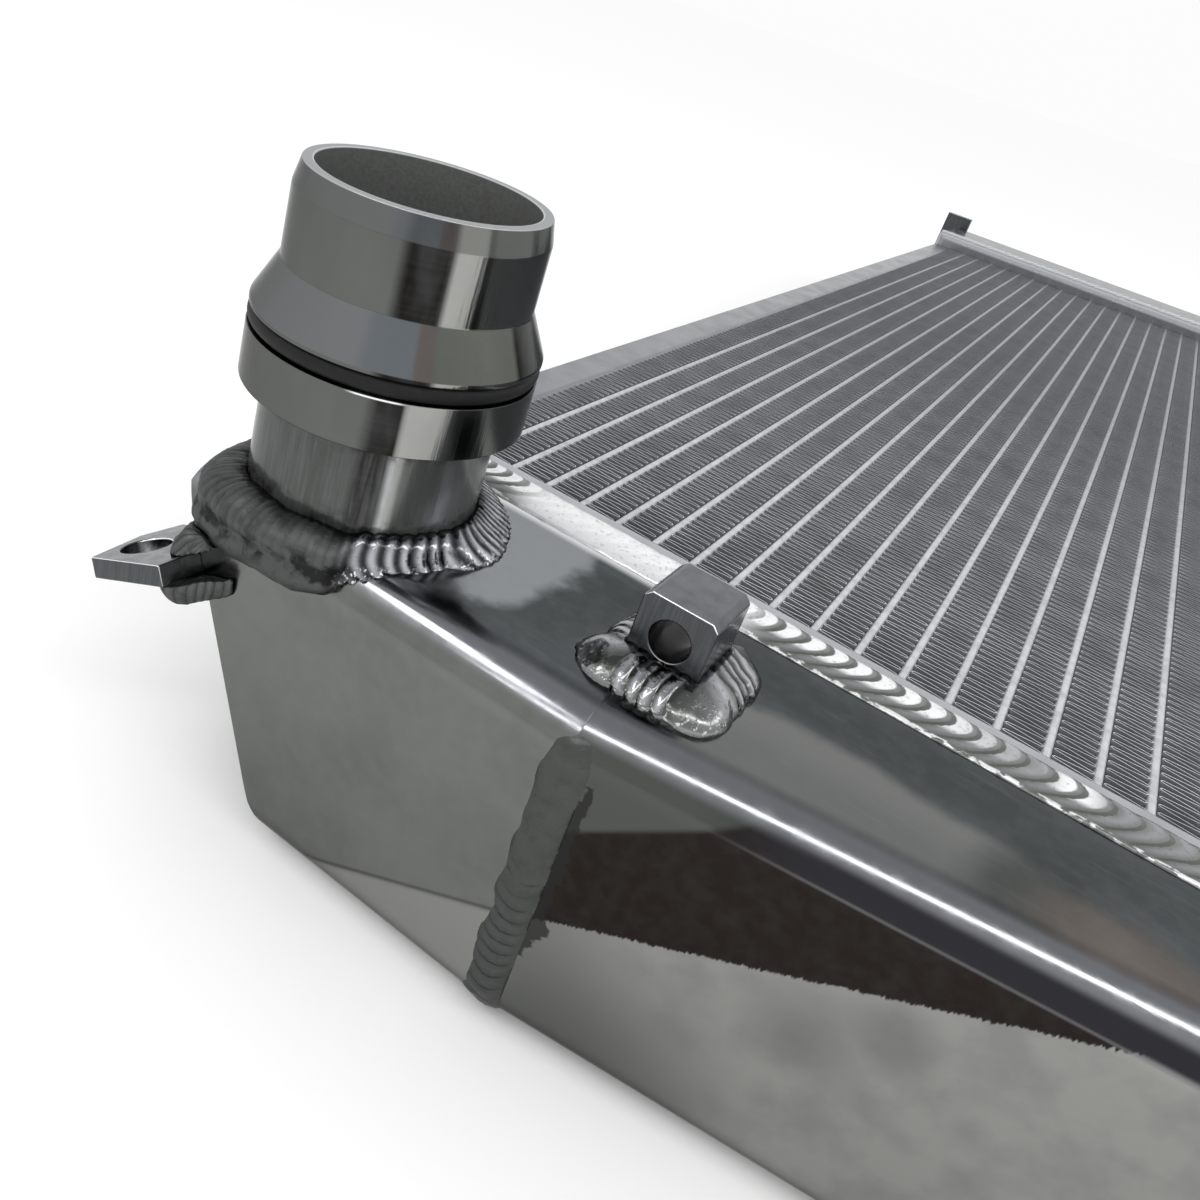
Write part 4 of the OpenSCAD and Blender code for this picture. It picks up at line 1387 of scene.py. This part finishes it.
class RADIATOR_OT_core(Operator):
    """Finishes the tubes and the side plates"""

    bl_idname = "radiator.core"
    bl_label = "Tubes and side plates"

    def execute(self, context):
        sizes, colours = context.scene.radiator_sizes, context.scene.radiator_colours
        dress("tubes", core_tube(colours))
        plate = satin_sheet("satin_sheet", colours, colours.satin)
        light = satin_sheet("satin_sheet_light", colours, colours.satin_light)
        # The outlet header's upper faces are painted lighter as light
        lit = satin_sheet("satin_sheet_lit", colours, colours.satin, colours.tube)
        for node, metal in (
            ("side_plate_left", plate), ("side_plate_right", plate),
            ("inlet_header", light), ("outlet_header", lit),
        ):
            piece = copy_of(node, node + "_sheet")
            if node == "inlet_header":
                # The side towards the core reaches further over it than the solid's
                for vertex in piece.data.vertices:
                    if vertex.co.y > header_high.y - 5 * MM:
                        vertex.co.y += sizes.rim_shift
            soften(piece, width=0.25 * MM)
            finish(piece, "satin_sheet", metal, node)
        return {"FINISHED"}


class RADIATOR_OT_tanks(Operator):
    """Finishes the folded tanks"""

    bl_idname = "radiator.tanks"
    bl_label = "Tanks"

    def execute(self, context):
        sizes, colours = context.scene.radiator_sizes, context.scene.radiator_colours
        inlet = polished_tank(colours, sizes), 0.1 * MM
        plain = plain_tank(colours), 0.3 * MM
        for node, (metal, edge) in (
            ("inlet_end_section", inlet), ("inlet_taper_section", inlet), ("inlet_shallow_section", inlet),
            ("inlet_end_plate", plain), ("outlet_tank", plain),
            ("outlet_end_plate_left", plain), ("outlet_end_plate_right", plain),
        ):
            piece = copy_of(node, node + "_sheet")
            soften(piece, width=edge)
            finish(piece, "polished_sheet", metal, node)
        return {"FINISHED"}


class RADIATOR_OT_necks(Operator):
    """Turns the two necks and fits their seals"""

    bl_idname = "radiator.necks"
    bl_label = "Necks and seals"

    def execute(self, context):
        colours = context.scene.radiator_colours
        rubber = seal_rubber(colours)
        for end, axis in (("inlet", inlet_axis), ("outlet", outlet_axis)):
            piece = spun_neck(f"{end}_neck_turned", axis)
            metal = turned_neck(f"{end}_neck_metal", colours, axis)
            finish(piece, "turned_aluminium", metal, f"{end}_neck")
            seal = copy_of(f"{end}_seal", f"{end}_seal_ring")
            smooth(seal)
            finish(seal, "seal_rubber", rubber, f"{end}_seal")
        return {"FINISHED"}


def spun_neck(name, axis):
    """A neck's section spun round its axis, every corner broken by a small bevel."""
    section = (
        (NECK_BORE, NECK_FOOT), (NECK_TUBE, NECK_FOOT), (NECK_TUBE, TUBE_TOP),
        (NECK_COLLAR, COLLAR_LOW), (NECK_COLLAR, GROOVE_LOW), (NECK_GROOVE, GROOVE_LOW),
        (NECK_GROOVE, GROOVE_TOP), (NECK_COLLAR, GROOVE_TOP), (NECK_COLLAR, CONE_LOW),
        (NECK_SPIGOT, CONE_TOP), (NECK_SPIGOT, LIP_LOW), (NECK_LIP, RIM_TOP), (NECK_BORE, RIM_TOP),
    )
    deselect_all()
    bpy.ops.mesh.primitive_plane_add(size=MM, location=axis)
    piece = named(name)

    def draw():
        bpy.ops.mesh.merge(type="CENTER")
        last = (0.0, 0.0)
        for number, (radius, height) in enumerate(section + section[:1]):
            move = ((radius - last[0]) * MM, 0, (height - last[1]) * MM)
            if number == 0:
                bpy.ops.transform.translate(value=move)
            else:
                extrude(*move)
            last = (radius, height)
        merge_doubles()
        bpy.ops.mesh.spin(steps=128, angle=2 * math.pi, center=axis, axis=(0, 0, 1))
        merge_doubles()
        bpy.ops.mesh.normals_make_consistent(inside=False)
    edit(piece, draw)
    activate(piece)
    bpy.ops.object.transform_apply(location=True, rotation=True, scale=True)
    soften(piece, width=0.25 * MM, angle=12)
    return piece


class RADIATOR_OT_mounts(Operator):
    """Finishes the block, the tab and the ear"""

    bl_idname = "radiator.mounts"
    bl_label = "Block, tab and ear"

    def execute(self, context):
        sizes, colours = context.scene.radiator_sizes, context.scene.radiator_colours
        metal = milled_metal(colours)
        for node in ("mounting_block", "mounting_tab", "mounting_ear"):
            piece = copy_of(node, node + "_milled")
            soften(piece, width=sizes.edge_round)
            finish(piece, "milled_aluminium", metal, node)
        return {"FINISHED"}


class RADIATOR_OT_welds(Operator):
    """Lays the weld beads"""

    bl_idname = "radiator.welds"
    bl_label = "Welds"

    def execute(self, context):
        sizes, colours = context.scene.radiator_sizes, context.scene.radiator_colours
        glossy = weld_metal("weld_bead", colours, colours.bead, colours.satin_light, dark_gap=0.7)
        silver = weld_metal("weld_bead_silver", colours, colours.wall, colours.satin_light, dark_gap=0.6)
        # Painted light: the far bead pale, with white highlights on its crests
        light = weld_metal(
            "weld_bead_light", colours, colours.satin_light, colours.highlight_white, dark_gap=0.2, metallic=0.6,
        )
        flush = weld_metal("weld_bead_flush", colours, colours.turned_tube, colours.turned_tube)
        white_highlights = weld_metal(
            "weld_bead_blown", colours, colours.wall, colours.satin,
            gap=0.2, dark_gap=0.6, white_highlights=True, metallic=0.35,
        )
        for name, y, metal, node in (
            ("inlet_header_bead", butt_y, white_highlights, "inlet_header_weld"),
            ("outlet_header_bead", outlet_butt_y, light, "outlet_header_weld"),
        ):
            piece = header_weld(name, y, sizes)
            smooth(piece, angle=50)
            finish(piece, "weld_metal", metal, node)
        for end, axis, facing, node in (
            ("inlet", inlet_axis, 0, "inlet_end_section"), ("outlet", outlet_axis, 180, "outlet_tank"),
        ):
            piece = neck_weld(f"{end}_neck_bead", node, axis, facing)
            finish(piece, "weld_metal", glossy, f"{end}_neck_weld")
        seams = (
            ("inlet_seam_bead", seam_x, wall_y, "inlet_seam_weld"),
            ("inlet_step_bead", (step_low.x + step_high.x) / 2, step_low.y + tank_low, "inlet_step_weld"),
        )
        for name, x, face_y, node in seams:
            piece = seam_weld(name, x, face_y, sizes)
            smooth(piece, angle=50)
            finish(piece, "weld_metal", flush, node)
        finish(block_weld("block_bead"), "weld_metal", silver, "block_weld")
        # Solid and piece, then the ripples' pitch and depth, the lumps' height and the factor grown by
        feet = (
            ("tab_weld", "tab_bead", 2.8 * MM, 0.4 * MM, 1.2 * MM, 1.22),
            ("ear_weld", "ear_bead", 2.4 * MM, 0.3 * MM, 0.3 * MM, 1.0),
        )
        for node, name, pitch, depth, lumps, grown in feet:
            piece = foot_weld(node, name, pitch, depth, lumps, grown)
            smooth(piece, angle=60)
            finish(piece, "weld_metal", glossy, node)
        return {"FINISHED"}


class RADIATOR_PT_panel(Panel):
    """Steps of the radiator's finish"""

    bl_label = "Aluminium Radiator"
    bl_idname = "RADIATOR_PT_panel"
    bl_space_type = "VIEW_3D"
    bl_region_type = "UI"
    bl_category = "Radiator"

    def draw(self, context):
        for group in (context.scene.radiator_sizes, context.scene.radiator_colours):
            box = self.layout.box()
            for name in group.__annotations__:
                box.prop(group, name)
        for step in STEPS:
            self.layout.operator(step.bl_idname)


# The order in which the pieces are made: copies are taken before their solids are hidden
STEPS = (
    RADIATOR_OT_stage,
    RADIATOR_OT_fins,
    RADIATOR_OT_core,
    RADIATOR_OT_welds,
    RADIATOR_OT_tanks,
    RADIATOR_OT_necks,
    RADIATOR_OT_mounts,
)
CLASSES = (RadiatorSizes, RadiatorColours, *STEPS, RADIATOR_PT_panel)


def register():
    for item in CLASSES:
        bpy.utils.register_class(item)
    bpy.types.Scene.radiator_sizes = PointerProperty(type=RadiatorSizes)
    bpy.types.Scene.radiator_colours = PointerProperty(type=RadiatorColours)


def unregister():
    del bpy.types.Scene.radiator_colours
    del bpy.types.Scene.radiator_sizes
    for item in reversed(CLASSES):
        bpy.utils.unregister_class(item)


def main():
    register()
    bpy.context.scene.view_settings.view_transform = "Standard"
    for step in STEPS:
        group, name = step.bl_idname.split(".")
        getattr(getattr(bpy.ops, group), name)()


if __name__ == "__main__":
    main()
